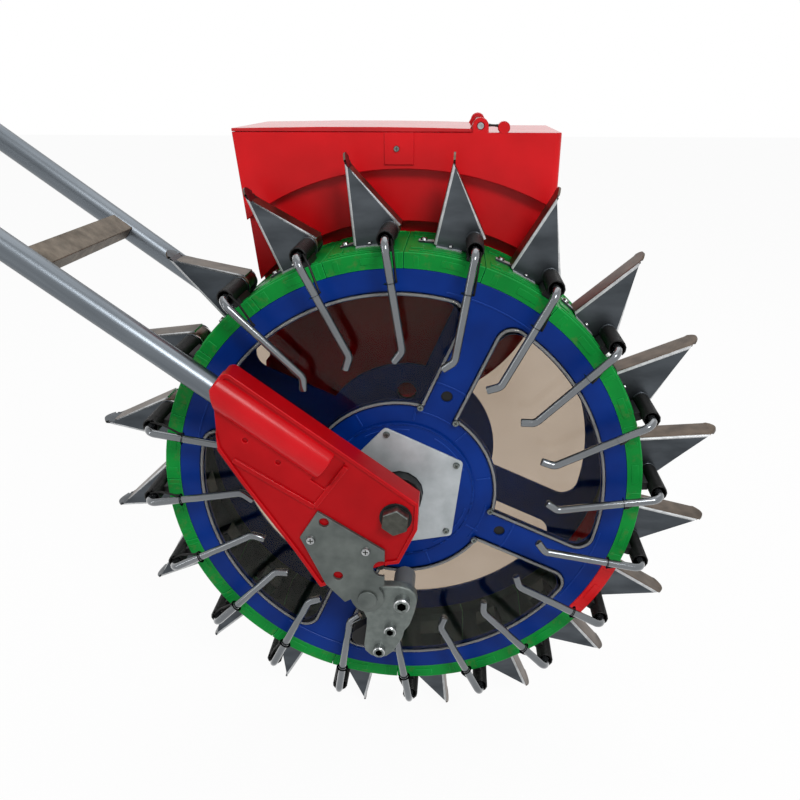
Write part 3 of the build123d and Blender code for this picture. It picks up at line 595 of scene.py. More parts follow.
# near disc: bored through its four spokes, with black discs at the holes' ends as painted shade
nearDisc = {"spokes": (66.0, 156.0, 246.0, 336.0), "holeRadius": 116.0, "hole": 5.8, "holeDeep": 20.0,
            "holeY": -55.0, "holeSides": 24, "plug": 5.9, "plugDeep": 1.2, "plugY": -52.8, "plugRound": 0.1,
            "edge": 0.8}
discPlate, spokeHoles, holeShadePlugs = nodeCopy("near_disc"), bmesh.new(), bmesh.new()
for spoke in nearDisc["spokes"]:
    addBar(spokeHoles, nearDisc["hole"], nearDisc["holeDeep"], nearDisc["holeSides"],
           polarNear(nearDisc["holeRadius"], spoke, nearDisc["holeY"]))
    addBar(holeShadePlugs, nearDisc["plug"], nearDisc["plugDeep"], nearDisc["holeSides"],
           polarNear(nearDisc["holeRadius"], spoke, nearDisc["plugY"]))
cutAway(discPlate, spokeHoles)
softenEdges(discPlate, nearDisc["edge"])
flattenShading(newPiece("nearDiscPlate", discPlate, [bluePlastic], "drum", ["near_disc"]))
# black discs in the holes, painted shade
softenEdges(holeShadePlugs, nearDisc["plugRound"], 1, barEnds)
newPiece("spokeHoleShade", holeShadePlugs, [blackNylon], "drum")

# low ribs on the disc's hub and spokes; arcs are a radius and two turns, or a radius and a spread
discRibs = {"face": -56.0, "hubFace": -59.5, "high": 0.9, "wide": 1.5, "round": 0.3,
            "hubArcs": ((71.0, 22, 60), (71.0, 82, 120), (71.0, 300, 345), (76.5, 0, 360)),
            "spokeArcs": ((217.0, 12), (127.0, 8), (92.0, 14)),
            "lines": (10, 45, 80, 118, 200, 250, 290, 330), "lineRadius": 88.0, "lineLong": 14.0,
            "lineDeep": 1.8, "stepTurn": 3, "leastSteps": 4}


def arcRib(bm, radius, start, stop, face):
    wide, crest, spread = discRibs["wide"] / 2, face - discRibs["high"], stop - start
    low, high = radius - wide, radius + wide
    steps = max(discRibs["leastSteps"], int(spread / discRibs["stepTurn"]))
    sweepSection(bm, ((low, face, 0), (high, face, 0), (high, crest, 0), (low, crest, 0)), start,
                 (0, -1, 0), spread, steps, spread >= 360)


ribMesh = bmesh.new()
for radius, start, stop in discRibs["hubArcs"]:
    arcRib(ribMesh, radius, start, stop, discRibs["hubFace"])
for spoke in nearDisc["spokes"]:
    for radius, spread in discRibs["spokeArcs"]:
        arcRib(ribMesh, radius, spoke - spread, spoke + spread, discRibs["face"])
for turn in discRibs["lines"]:
    addBlock(ribMesh, (discRibs["lineLong"], discRibs["wide"], discRibs["lineDeep"]),
             polarNear(discRibs["lineRadius"], turn, discRibs["face"]))
faceOutwards(ribMesh)
# rib edges in the paler blue, a painted highlight
softenEdges(ribMesh, discRibs["round"], 1, index=1)
flattenShading(newPiece("discRibs", ribMesh, [bluePlastic, blueRibHighlight], "drum"))
print("near disc bored and ribbed")

# clear windows with the raised bead along their edges
windowBead = {"lap": 1.0, "width": 2.8, "height": 1.5, "round": 1.1, "crest": 0.1}
for node, name, side in (("near_windows", "nearWindowPanes", -1), ("far_windows", "farWindowPanes", 1)):
    panes = nodeCopy(node)
    outer = [f for f in panes.faces if f.normal.y * side > facing]
    for inset in ("lap", "width"):
        beads = bmesh.ops.inset_region(panes, faces=outer, thickness=windowBead[inset] * mm, depth=0,
                                       use_even_offset=True, use_boundary=True)["faces"]
    raised = bmesh.ops.extrude_face_region(panes, geom=beads)["geom"]
    bmesh.ops.delete(panes, geom=beads, context="FACES_ONLY")
    bmesh.ops.translate(panes, verts=movedVerts(raised), vec=(0, side * windowBead["height"] * mm, 0))
    paintFaces({f for v in movedVerts(raised) for f in v.link_faces}, 1)
    crest = max(v.co.y * side for v in panes.verts) - windowBead["crest"] * mm
    softenEdges(panes, windowBead["round"], 3, least=40, index=1,
                pick=lambda e: all(v.co.y * side > crest for v in e.verts))
    flattenShading(newPiece(name, panes, [clearPet, clearBead], "drum", [node]))
print("windows beaded")

# rim modules: raised bars on both faces, pads and lines on the tread, per module
# bars are turn, radius, length, height and thickness; pads turn, y, length, width and thickness;
# lines y, spread, width and height
moduleMarks = {"face": 56.0, "rim": 250.0, "root": -0.5, "round": 0.35, "lineSteps": 6,
               "bars": ((2.0, 242.4, 22.0, 6.5, 1.6), (-6.2, 242.4, 5.0, 10.0, 1.2),
                        (7.4, 242.4, 3.0, 12.0, 1.0)),
               "pads": ((-6.4, 30.0, 12.0, 14.0, 2.0),),
               "lines": ((50.5, 8.0, 2.2, 1.0), (42.0, 5.5, 1.8, 0.8))}


def makeModuleMarks(bm):
    face, rim, root = moduleMarks["face"], moduleMarks["rim"], moduleMarks["root"]
    for turn, radius, long, high, thick in moduleMarks["bars"]:
        addBlock(bm, (long, thick, high), aboutAxle(turn) @ atPlace(0, -face, radius))
    for turn, y, long, wide, thick in moduleMarks["pads"]:
        addBlock(bm, (long, wide, thick), aboutAxle(turn) @ atPlace(0, -y, rim))
    for y, spread, wide, high in moduleMarks["lines"]:
        left, right, low, top = -y - wide / 2, -y + wide / 2, rim + root, rim + high
        sweepSection(bm, ((0, left, low), (0, right, low), (0, right, top), (0, left, top)), spread,
                     (0, 1, 0), 2 * spread, moduleMarks["lineSteps"])
    mirrorAcross(bm, merge=0)
    faceOutwards(bm)
    # mark edges in the paler colour, a painted highlight
    softenEdges(bm, moduleMarks["round"], 1, index=1)


markMesh = asMesh("moduleMarks", makeModuleMarks)
greenMarks, redMarks = bmesh.new(), bmesh.new()
for unit in range(drum["units"]):
    stamp(redMarks if unit == drum["redUnit"] else greenMarks, markMesh,
          aboutAxle(unitTurn(unit) + drum["moduleTurn"]))
flattenShading(newPiece("moduleMarks", greenMarks, [greenPlastic, greenEdgeHighlight], "drum"))
# the red module's marks in the lighter red, painted light
flattenShading(newPiece("redModuleMarks", redMarks, [redPaintedLight, redEdgeHighlight], "drum"))
print("rim modules marked")

# fixed beak halves: one folded sheet each, with bright sheared edges, folds painted pale as a highlight,
# flanges on the tread and ear bosses
beak = {"half": 16.0, "fold": (-37.0, 249.6), "lean": 2.5, "apex": 77.5, "noseBend": 11.0,
        "nose": ((80.2, 13.0), (82.9, 9.4), (84.9, 5.4), (85.9, 1.8)),
        "earTop": (8.0, 266.9), "earLow": (8.0, 256.0), "front": (0.0, 250.9),
        "foot": (-52.0, 246.5), "footHalf": 5.0, "flange": ((-34.0, 248.6), (-9.0, 250.8)), "flangeOut": 7.5,
        "sheet": 2.0, "foldRound": 3.0, "foldX": -36.0, "foldTall": 40.0, "foldTilt": 0.12, "earRound": 4.2,
        "hole": 4.4, "holeLong": 60.0, "boss": 8.6, "bossDeep": 2.4, "bossRound": 0.7, "sides": 20,
        "tipDrop": 1.0}


def upBeak(run):
    lean = math.radians(beak["lean"])
    return beak["fold"][0] - run * math.sin(lean), beak["fold"][1] + run * math.cos(lean)


def upNose(run):
    lean, (x, z) = math.radians(beak["lean"]), upBeak(run)
    back = (run - beak["apex"]) * math.tan(math.radians(beak["noseBend"]))
    return x - back * math.cos(lean), z - back * math.sin(lean)


# a cut edge is a four-sided face as narrow as the sheet is thick
def brightenCuts(bm, sheet, index, slack=0.3):
    for face in bm.faces:
        spans = sorted(e.calc_length() / mm for e in face.edges)
        if len(spans) == 4 and all(abs(span - sheet) < slack for span in spans[:2]):
            face.material_index = index


def makeEarBoss(bm):
    turnedRing(bm, beak["hole"], beak["boss"], 0, beak["bossDeep"], beak["sides"])
    softenEdges(bm, beak["bossRound"], 3, barEnds)


def makeBeakSheet(bm):
    corner = lambda place, y: bm.verts.new(Vector((place[0], y, place[1])) * mm)
    near, fold, apex = -beak["half"], beak["fold"], upBeak(beak["apex"])
    low, high = beak["flange"]
    cheek = [corner(p, near) for p in (fold, apex, beak["earTop"], beak["earLow"], beak["front"], high, low)]
    nose = [corner(upNose(run), -side) for run, side in beak["nose"] + ((beak["nose"][-1][0], 0),)]
    apexMiddle, foldMiddle = corner(apex, 0), corner(fold, 0)
    footRoot = corner(fold, -beak["footHalf"])
    foot, footMiddle = corner(beak["foot"], -beak["footHalf"]), corner(beak["foot"], 0)
    bm.faces.new(cheek)
    bm.faces.new([cheek[0], footRoot, foldMiddle, apexMiddle, cheek[1]])
    bm.faces.new([cheek[1], apexMiddle] + nose[::-1])
    bm.faces.new([footRoot, foot, footMiddle, foldMiddle])
    flangeY = near - beak["flangeOut"]
    bm.faces.new([cheek[6], cheek[5], corner(high, flangeY), corner(low, flangeY)])
    roundOff(bm, cheek[2:4], beak["earRound"], segments=4, affect="VERTICES")
    mirrorAcross(bm, merge=0.01 * mm)
    joinFlats(bm, limit=0.5)
    faceOutwards(bm)
    side = max(bm.faces, key=lambda f: abs(f.normal.y) * f.calc_area())
    if side.normal.y * side.calc_center_median().y < 0:
        bmesh.ops.reverse_faces(bm, faces=bm.faces)
    softenEdges(bm, beak["foldRound"], 3, least=20,
                pick=lambda e: all(v.co.x < beak["foldX"] * mm for v in e.verts)
                and abs(e.verts[0].co.z - e.verts[1].co.z) > beak["foldTall"] * mm)
    bmesh.ops.solidify(bm, geom=bm.faces[:], thickness=beak["sheet"] * mm)
    faceOutwards(bm)
    bores = bmesh.new()
    addBar(bores, beak["hole"], beak["holeLong"], beak["sides"], nearFace(0, 0, drum["pivot"]))
    cutAway(bm, bores)
    for face in bm.faces:
        face.material_index = 0
        if face.normal.x < -facing:  # back
            face.material_index = 2
        elif abs(face.normal.z) > facing:  # flanges and foot
            face.material_index = 3
        elif face.normal.x < -beak["foldTilt"] and abs(face.normal.y) > beak["foldTilt"]:  # folds, painted pale as a highlight
            face.material_index = 4
    brightenCuts(bm, beak["sheet"], 1)
    for face in bm.faces:
        if face.calc_center_median().z > (apex[1] - beak["tipDrop"]) * mm and face.material_index:
            face.material_index = 2  # the tips are rubbed dull by the soil
    for y in (near, -near + beak["bossDeep"]):
        stamp(bm, bossMesh, nearFace(0, y, drum["pivot"]), 0)


bossMesh = asMesh("earBoss", makeEarBoss)
beakRing = bmesh.new()
makeBeakSheet(beakRing)
repeatRound(beakRing)
flattenShading(newPiece("beakSheets", beakRing, [beakSteel, cutSteel, backSteel, plateZinc, foldHighlightSteel],
                        "drum", ["fixed_beaks"]))
print("beaks folded")

# torsion springs: close black coils on the rods
spring = {"wire": 2.4, "coil": 7.4, "turns": 21, "start": -18.6, "end": -70.0, "steps": 12, "sides": 6}
springRing, springSteps = bmesh.new(), spring["turns"] * spring["steps"]
springRise = (spring["end"] - spring["start"] + spring["wire"]) / springSteps * mm
addRing(springRing, spring["wire"] / 2, spring["sides"],
        atPlace(spring["coil"], spring["start"] - spring["wire"] / 2, drum["pivot"]))
bendRing(springRing, springRing.edges[:], Vector((0, 0, drum["pivot"])) * mm, (0, 1, 0),
         360 * spring["turns"], springSteps, (0, springRise, 0))
closeEnds(springRing)
repeatRound(springRing)
newPiece("springCoils", springRing, [springSteel], "drum", ["spring_coils"], sharp=60)

# moulded seats under the springs
saddle = {"size": (9.0, 34.0, 7.0), "place": (0.0, -37.0, 252.9), "round": 1.0}
saddleRing = bmesh.new()
addBlock(saddleRing, saddle["size"], atPlace(*saddle["place"]))
softenEdges(saddleRing, saddle["round"])
repeatRound(saddleRing)
flattenShading(newPiece("springSaddles", saddleRing, [blackNylon], "drum"))
print("springs wound")

# jaws: plate and eye on a bent rod, with the spring's leg hooked round the rod
rod = {"radius": 4.0, "sides": 14, "start": 18.0, "plane": -82.0, "bend": 10.0, "lean": 6.39,
       "elbow": (11.5, 161.3), "tip": (2.7, 150.5), "elbowBend": 9.0, "endRound": 0.8}
jaw = {"half": 13.4, "gap": 8.4, "slant": 40.51, "length": 68.0, "root": 4.0, "sheet": 2.0, "corner": 6.0,
       "eye": 9.2, "eyeHalf": 13.4, "eyeRound": 0.6, "eyeSides": 20}
leg = {"wire": 2.4, "side": 5.4, "start": -69.5, "drop": 12.0, "hook": 226.5, "rise": 4.0, "hookTurn": -345,
       "hookSteps": 22, "wireSides": 8}
rodLean = math.radians(rod["lean"])
inward = Vector((math.sin(rodLean), 0, -math.cos(rodLean)))  # from the hinge towards the axle, along the rod
hinge = Vector((0, 0, drum["pivot"]))


def makeRod(bm):
    elbow, tip = (Vector((x, 0, z)) for x, z in (rod["elbow"], rod["tip"]))
    onward = (tip - elbow).normalized()
    turn = inward.angle(onward)
    tangent = rod["elbowBend"] * math.tan(turn / 2)
    addRing(bm, rod["radius"], rod["sides"], nearFace(0, rod["start"], drum["pivot"]))
    ring = pushRing(bm, bm.edges[:], (0, (rod["plane"] + rod["bend"] - rod["start"]) * mm, 0))
    bendAt = hinge + Vector((0, rod["plane"] + rod["bend"], 0)) + inward * rod["bend"]
    ring = bendRing(bm, ring, bendAt * mm, inward.cross(Vector((0, -1, 0))), -90, steps=8)
    ring = pushRing(bm, ring, inward * ((elbow - hinge).length - rod["bend"] - tangent) * mm)
    beside = (onward - inward * inward.dot(onward)).normalized()
    bendAt = elbow - inward * tangent + beside * rod["elbowBend"] + Vector((0, rod["plane"], 0))
    ring = bendRing(bm, ring, bendAt * mm, inward.cross(onward), math.degrees(turn), steps=6)
    pushRing(bm, ring, onward * ((tip - elbow).length - tangent) * mm)
    closeEnds(bm)
    softenEdges(bm, rod["endRound"], 2, least=60)


def makeJawPlate(bm):
    slant = math.radians(jaw["slant"])
    normal = Vector((math.cos(slant), 0, math.sin(slant)))
    along = Vector((-math.sin(slant), 0, math.cos(slant)))
    foot = hinge + normal * jaw["gap"]
    corners = [bm.verts.new((foot + along * run + Vector((0, y, 0))) * mm)
               for run, y in ((-jaw["root"], -jaw["half"]), (jaw["length"], -jaw["half"]),
                              (jaw["length"], jaw["half"]), (-jaw["root"], jaw["half"]))]
    bm.faces.new(corners)
    roundOff(bm, corners[1:3], jaw["corner"], segments=3, affect="VERTICES")
    extrudeFaces(bm, bm.faces[:], normal * jaw["sheet"] * mm)
    faceOutwards(bm)
    paintFaces(bm.faces, 1)
    brightenCuts(bm, jaw["sheet"], 2)


def makeJawEye(bm):
    addBar(bm, jaw["eye"], 2 * jaw["eyeHalf"], jaw["eyeSides"], nearFace(0, 0, drum["pivot"]))
    softenEdges(bm, jaw["eyeRound"], 2, barEnds)


def makeSpringLeg(bm):
    reach = drum["pivot"] - leg["hook"]
    across = Vector((math.cos(rodLean), 0, math.sin(rodLean)))
    start = hinge + across * leg["side"] + Vector((0, leg["start"], 0))
    addRing(bm, leg["wire"] / 2, leg["wireSides"], Matrix.Translation(start * mm) @ aboutAxle(-rod["lean"]))
    ring = pushRing(bm, bm.edges[:], inward * leg["drop"] * mm)
    ring = pushRing(bm, ring, (inward * (reach - leg["drop"] - leg["rise"])
                               + Vector((0, rod["plane"] - leg["start"], 0))) * mm)
    ring = pushRing(bm, ring, inward * leg["rise"] * mm)
    hookAt = hinge + inward * reach + Vector((0, rod["plane"], 0))
    bendRing(bm, ring, hookAt * mm, inward, leg["hookTurn"], leg["hookSteps"])
    closeEnds(bm)


jawParts = [(asMesh("jawRod", makeRod), 0), (asMesh("jawPlate", makeJawPlate), None),
            (asMesh("jawEye", makeJawEye), 1), (asMesh("springLeg", makeSpringLeg), 3)]
for unit in range(drum["units"]):
    jawMesh = bmesh.new()
    for part, index in jawParts:
        stamp(jawMesh, part, aboutAxle(unitTurn(unit)), index)
    label = f"{unit + 1:02d}"
    newPiece("jawAndRod" + label, jawMesh, [rodSteel, backSteel, cutSteel, springSteel], "jaw_" + label,
             ["jaw_lever_" + label])
print("jaws hung:", drum["units"])

# cross-head screws
panHead = {"radius": 3.7, "flat": 3.0, "height": 2.2, "slotLong": 2.0, "slotHalf": 0.45, "slotDeep": 1.0}


def makePanHead(bm):
    rim = addRing(bm, panHead["flat"], 12, atPlace(0, 0, panHead["height"]))
    pushRing(bm, bm.edges[:], (0, 0, -panHead["height"] * mm), panHead["radius"] / panHead["flat"])
    rim.sort(key=lambda v: round(math.atan2(v.co.y, v.co.x), 3) % (2 * math.pi))
    long, half = panHead["slotLong"], panHead["slotHalf"]
    quarter = ((long, 0), (long, half), (half, half), (half, long))  # a quarter of the cross
    cross = [Matrix.Rotation(math.pi / 2 * k, 2) @ Vector(point) for k in range(4) for point in quarter]
    mouth = [bm.verts.new(Vector((x, y, panHead["height"])) * mm) for x, y in cross]
    for k in range(4):  # each quarter of the rim joins a quarter of the cross
        bm.faces.new([rim[(3 * k + j) % 12] for j in range(4)]
                     + [mouth[(4 * k + j) % 16] for j in range(4, -1, -1)])
    slot = bm.faces.new(mouth)
    sunk = extrudeFaces(bm, [slot], (0, 0, -panHead["slotDeep"] * mm))
    bmesh.ops.delete(bm, geom=[slot], context="FACES_ONLY")
    # the cross recess in the dark grey, painted shade
    paintFaces({f for v in sunk for f in v.link_faces}, 2)
    closeEnds(bm)


panMesh = asMesh("panHead", makePanHead)
# hub and window screws are radius, turn and y; foot turn and radius; flange turn, y and radius
screwPlaces = {"hub": (67.0, 101.3, -62.0), "hubCount": 5, "window": (97.5, 11.5, -59.6),
               "foot": (-10.7, 252.2), "flange": (-4.6, -19.6, 252.6), "flangeScale": 0.62,
               "plate": ((-85.0, -26.0), (-30.0, -37.0)), "plateFace": -118.0, "plateScale": 1.35,
               "armScale": 1.3, "pad": (-8.5, 32.6, 334.6), "padScale": 0.85}
farSide = Matrix.Rotation(math.pi, 4, "Z")
drumScrews = bmesh.new()
hubRadius, hubFirst, hubFace = screwPlaces["hub"]
hubStep = 360 / screwPlaces["hubCount"]
for k in range(screwPlaces["hubCount"]):
    stamp(drumScrews, panMesh, polarNear(hubRadius, hubFirst + hubStep * k, hubFace), 1)
windowRadius, apart, windowFace = screwPlaces["window"]
for turn in [spoke + side * apart for spoke in nearDisc["spokes"] for side in (-1, 1)]:
    place = polarNear(windowRadius, turn, windowFace)
    stamp(drumScrews, panMesh, place, 1)
    stamp(drumScrews, panMesh, farSide @ place, 1)
footTurn, footRadius = screwPlaces["foot"]
flangeTurn, flangeY, flangeRadius = screwPlaces["flange"]
for unit in range(drum["units"]):
    stamp(drumScrews, panMesh, aboutAxle(unitTurn(unit) + footTurn) @ atPlace(0, 0, footRadius), 0)
    stamp(drumScrews, panMesh, aboutAxle(unitTurn(unit) + flangeTurn) @ atPlace(0, flangeY, flangeRadius),
          0, screwPlaces["flangeScale"])
newPiece("drumScrews", drumScrews, [screwZinc, screwDull, darkBoltAndShade], "drum")
frameScrews = bmesh.new()
for x, z in screwPlaces["plate"]:
    stamp(frameScrews, panMesh, nearFace(x, screwPlaces["plateFace"], z), size=screwPlaces["plateScale"])
for x, z in arm["holes"]:
    stamp(frameScrews, panMesh, farSide @ nearFace(-x, arm["face"], z), size=screwPlaces["armScale"])
stamp(frameScrews, panMesh, nearFace(*screwPlaces["pad"]), 1, screwPlaces["padScale"])
newPiece("frameScrews", frameScrews, [screwZinc, screwDull, darkBoltAndShade], "frame")

# trip lever: a cast plate with rounded edges, bored for its pin and bolt
lever = {"outline": ((-43, -92), (-38, -82.5), (-29, -80), (-18, -82.5), (-8, -82), (4, -82), (14, -85),
                     (20, -91.5), (21.5, -100), (19, -113), (15.5, -125), (13, -131.5), (8, -138.5),
                     (6, -147.5), (1, -157), (-4, -166), (-11, -172.5), (-19, -175), (-28, -172), (-34, -166),
                     (-35, -158), (-33.5, -146), (-31.8, -132), (-31.5, -124), (-35, -115), (-41, -104)),
         "front": -113.3, "deep": 12.0, "edge": 2.2, "bores": ((-29.3, -94.8, 6.1), (6.0, -99.5, 4.1)),
         "boreLong": 40.0, "boreSides": 24}
leverMesh = bmesh.new()
leverMesh.faces.new([leverMesh.verts.new(Vector((x, lever["front"], z)) * mm) for x, z in lever["outline"]])
extrudeFaces(leverMesh, leverMesh.faces[:], (0, lever["deep"] * mm, 0))
faceOutwards(leverMesh)
softenEdges(leverMesh, lever["edge"], 3, least=60)
leverBores = bmesh.new()
for x, z, radius in lever["bores"]:
    addBar(leverBores, radius, lever["boreLong"], lever["boreSides"], nearFace(x, lever["front"], z))
cutAway(leverMesh, leverBores)
flattenShading(newPiece("tripLever", leverMesh, [castAlloy], "trip_arm", ["trip_lever"]))

# cap screws with a sunk six-sided socket on the trip lever; places are x, z and scale
capScrew = {"radius": 6.4, "height": 8.0, "round": 0.9, "socket": 3.9, "deep": 4.0, "sides": 18,
            "places": ((-6.5, -134.5, 1.0), (-18.5, -161.5, 1.0), (6.0, -99.5, 1.3))}


def makeCapScrew(bm):
    addRing(bm, capScrew["radius"], capScrew["sides"])
    shoulder = pushRing(bm, bm.edges[:], (0, 0, (capScrew["height"] - capScrew["round"]) * mm))
    crown = pushRing(bm, shoulder, (0, 0, capScrew["round"] * mm), 1 - capScrew["round"] / capScrew["radius"])
    made = set(addRing(bm, capScrew["socket"], 6, atPlace(0, 0, capScrew["height"])))
    mouth = [e for e in bm.edges if set(e.verts) <= made]
    bmesh.ops.bridge_loops(bm, edges=crown + mouth)
    floor = pushRing(bm, mouth, (0, 0, -capScrew["deep"] * mm))
    closeEnds(bm)
    # the front face in the duller grey and the socket in the dark grey, both painted shade
    paintFaces([f for f in bm.faces if f.normal.z > facing], 2)
    paintFaces({f for e in floor for f in e.link_faces}, 1)


capMesh = asMesh("capScrew", makeCapScrew)
leverBolts = bmesh.new()
for x, z, size in capScrew["places"]:
    stamp(leverBolts, capMesh, nearFace(x, lever["front"], z), size=size)
newPiece("leverScrews", leverBolts, [screwZinc, darkBoltAndShade, screwDull], "trip_arm")

# axle bolt with a chamfered six-sided head, whose upper flats are painted paler as light from above, and a
# black ring round the head as painted shade
axleBolt = {"radius": 8.0, "far": 127.0, "seat": -113.6, "head": 12.0, "across": 14.6, "turn": -7.0,
            "round": 1.4, "paintedLightFrom": 0.3, "shadeRing": 16.2, "shadeRingDeep": 1.1, "shadeRingSeat": -114.04,
            "shadeRingRound": 0.3, "shadeRingSides": 40, "sides": 28}
axleMesh, headEnd = bmesh.new(), axleBolt["seat"] - axleBolt["head"]
for sides, radius, start, stop in ((axleBolt["sides"], axleBolt["radius"], axleBolt["far"], axleBolt["seat"]),
                                   (6, axleBolt["across"], axleBolt["seat"], headEnd)):
    addBar(axleMesh, radius, start - stop, sides,
           nearFace(0, (start + stop) / 2, 0) @ Matrix.Rotation(math.radians(axleBolt["turn"]), 4, "Z"))
softenEdges(axleMesh, axleBolt["round"], 2, barEnds)
# upper flats in the paler grey, painted light from above
paintFaces([f for f in axleMesh.faces if f.normal.z > axleBolt["paintedLightFrom"]
            and f.calc_center_median().y < axleBolt["seat"] * mm], 1)
newPiece("axleBolt", axleMesh, [darkBoltAndShade, screwDull], "frame", ["axle"])
# a thin black ring round the head, painted shade
shadeRingMesh = bmesh.new()
turnedRing(shadeRingMesh, axleBolt["radius"], axleBolt["shadeRing"], 0, axleBolt["shadeRingDeep"],
           axleBolt["shadeRingSides"])
softenEdges(shadeRingMesh, axleBolt["shadeRingRound"], 1, barEnds)
bmesh.ops.transform(shadeRingMesh, verts=shadeRingMesh.verts, matrix=nearFace(0, axleBolt["shadeRingSeat"], 0))
newPiece("axleShadeRing", shadeRingMesh, [blackNylon], "frame")
print("screws and bolts set")

# small wire link between the hinge lug and the stop boss, with a slim waist
hingeLink = {"wire": 1.6, "from": (82.0, 43.0, 356.5), "to": (91.5, 43.0, 356.0), "sides": 10,
             "runs": ((0.3, 0.7), (0.4, 1.0), (0.3, 1.4))}
linkMesh = bmesh.new()
linkStart, linkEnd = (Vector(hingeLink[end]) * mm for end in ("from", "to"))
addRing(linkMesh, hingeLink["wire"], hingeLink["sides"], standAlong(linkStart, linkEnd - linkStart))
ring = linkMesh.edges[:]
for run, widen in hingeLink["runs"]:
    ring = pushRing(linkMesh, ring, (linkEnd - linkStart) * run, widen)
closeEnds(linkMesh)
newPiece("hingeLink", linkMesh, [blackNylon], "frame")

# grips: rubber sleeves with moulded rings
grip = {"radius": 15.2, "ring": 16.0, "mouth": 12.6, "length": 125.0, "rings": 16, "y": 105.0, "endX": -893.7,
        "endZ": 552.4, "rise": 8.0, "wall": 4.0, "endRound": 2.0, "sides": 28}
gripRise, swell = math.radians(grip["rise"]), grip["ring"] / grip["radius"]
gripAlong = Vector((math.cos(gripRise), 0, -math.sin(gripRise)))
gripStep = Vector((0, 0, grip["length"] / (grip["rings"] * 4) * mm))
for side, node, name in ((-1, "near_grip", "nearGripSleeve"), (1, "far_grip", "farGripSleeve")):
    end = Vector((grip["endX"], side * grip["y"], grip["endZ"])) - gripAlong * grip["wall"]
    sleeve = bmesh.new()
    addRing(sleeve, grip["radius"], grip["sides"])
    ring = sleeve.edges[:]
    for widen in (swell, 1.0, 1 / swell, 1.0) * grip["rings"]:
        ring = pushRing(sleeve, ring, gripStep, widen)
    pushRing(sleeve, ring, (0, 0, 0), grip["mouth"] / grip["radius"])
    bmesh.ops.transform(sleeve, verts=sleeve.verts, matrix=standAlong(end * mm, gripAlong))
    closeEnds(sleeve)
    softenEdges(sleeve, grip["endRound"], 3, least=80)
    newPiece(name, sleeve, [gripRubber], "frame", [node], sharp=50)
print("grips ringed")

# floor, light and camera; lamps are name, place, size and power
studio = {"floor": 12.0, "drop": 2.0, "floorLift": 0.94, "world": 0.45, "white": 1.0, "paint": "#f4f4f4",
          "lamps": (("keyLamp", (1.0, -2.0, 2.0), (0.9, 0.9), 44),
                    ("stripLamp", (-2.2, -1.3, 0.8), (0.2, 2.0), 7),
                    ("topLamp", (0.3, 0.9, 2.4), (2.6, 2.6), 22))}
floorMesh = bmesh.new()
bmesh.ops.create_grid(floorMesh, x_segments=2, y_segments=2, size=studio["floor"],
                      matrix=Matrix.Translation((0, 0, cadBox[0].z - studio["drop"] * mm)))
floor = linkedObject("floor", meshFrom("floor", floorMesh))
floor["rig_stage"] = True


def seenDirectly(tree):
    path = addNode(tree, "ShaderNodeLightPath")
    first = addNode(tree, "ShaderNodeMath", {"operation": "MAXIMUM"}, links={
        0: path.outputs["Is Camera Ray"], 1: path.outputs["Is Glossy Ray"]})
    return addNode(tree, "ShaderNodeMath", {"operation": "MAXIMUM"}, links={
        0: first.outputs[0], 1: path.outputs["Is Transmission Ray"]}).outputs[0]


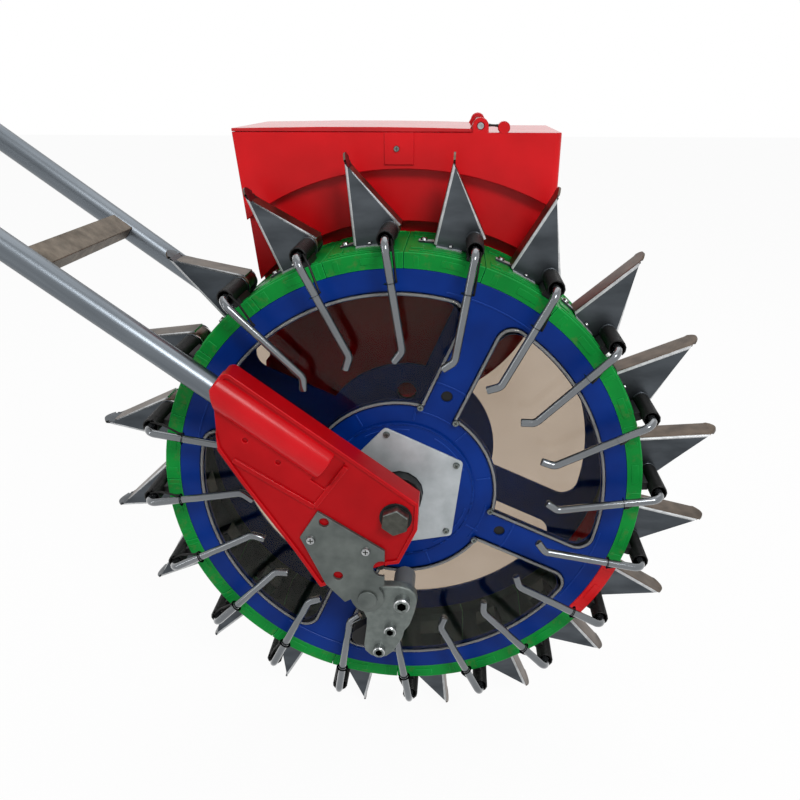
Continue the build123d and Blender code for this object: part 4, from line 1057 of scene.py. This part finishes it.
# painted studio floor: white to the eye, with the object's soft shadow left in it
floorPaint = bpy.data.materials.new("paleStudioPaint")
floorPaint.use_nodes = True
tree = floorPaint.node_tree
tree.nodes.clear()
matt = addNode(tree, "ShaderNodeBsdfDiffuse", inputs={"Color": linearColour(studio["paint"])})
glow = addNode(tree, "ShaderNodeEmission", inputs={"Color": (1, 1, 1, 1), "Strength": studio["white"]})
lift = addNode(tree, "ShaderNodeMath", {"operation": "MULTIPLY"}, {1: studio["floorLift"]},
               {0: seenDirectly(tree)})
mixed = addNode(tree, "ShaderNodeMixShader",
                links={0: lift.outputs[0], 1: matt.outputs[0], 2: glow.outputs[0]})
addNode(tree, "ShaderNodeOutputMaterial", links={"Surface": mixed.outputs[0]})
floor.data.materials.append(floorPaint)

world = bpy.data.worlds.new("studioWorld")
bpy.context.scene.world = world
world.use_nodes = True
tree = world.node_tree
tree.nodes.clear()
soft, white = (addNode(tree, "ShaderNodeBackground",
                       inputs={"Color": (1, 1, 1, 1), "Strength": studio[level]})
               for level in ("world", "white"))
mixed = addNode(tree, "ShaderNodeMixShader",
                links={0: seenDirectly(tree), 1: soft.outputs[0], 2: white.outputs[0]})
addNode(tree, "ShaderNodeOutputWorld", links={"Surface": mixed.outputs[0]})


def aim(name, data, place, look):
    holder = linkedObject(name, data)
    holder.location = place
    holder.rotation_mode = "QUATERNION"
    holder.rotation_quaternion = look.to_track_quat("-Z", "Y")
    return holder


for name, place, size, power in studio["lamps"]:
    lamp = bpy.data.lights.new(name, "AREA")
    lamp.shape = "RECTANGLE"
    lamp.size, lamp.size_y = size
    lamp.energy = power
    aim(name, lamp, place, -Vector(place))

# the photo's viewing angle; focal length, frame and centre are in pixels
shot = {"place": (54.0, -766.0, 392.0), "yaw": 3.59, "pitch": 22.64, "focal": 767.0, "frame": 800.0,
        "centre": (409.0, 406.0), "sensor": 36.0, "nearest": 20.0}
camera = bpy.data.cameras.new("photoCamera")
camera.sensor_fit = "HORIZONTAL"
camera.sensor_width = shot["sensor"]
camera.lens = shot["focal"] / shot["frame"] * shot["sensor"]
camera.shift_x = (shot["frame"] / 2 - shot["centre"][0]) / shot["frame"]
camera.shift_y = (shot["centre"][1] - shot["frame"] / 2) / shot["frame"]
camera.clip_start = shot["nearest"] * mm
yaw, pitch = math.radians(shot["yaw"]), math.radians(shot["pitch"])
look = Vector((-math.sin(yaw) * math.cos(pitch), math.cos(yaw) * math.cos(pitch), -math.sin(pitch)))
bpy.context.scene.camera = aim("photoCamera", camera, Vector(shot["place"]) * mm, look)
bpy.context.scene.view_settings.view_transform = "Standard"
print("studio lit, camera placed")

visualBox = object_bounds()
{"cad": [list(corner) for corner in cadBox], "visual": [list(corner) for corner in visualBox]}
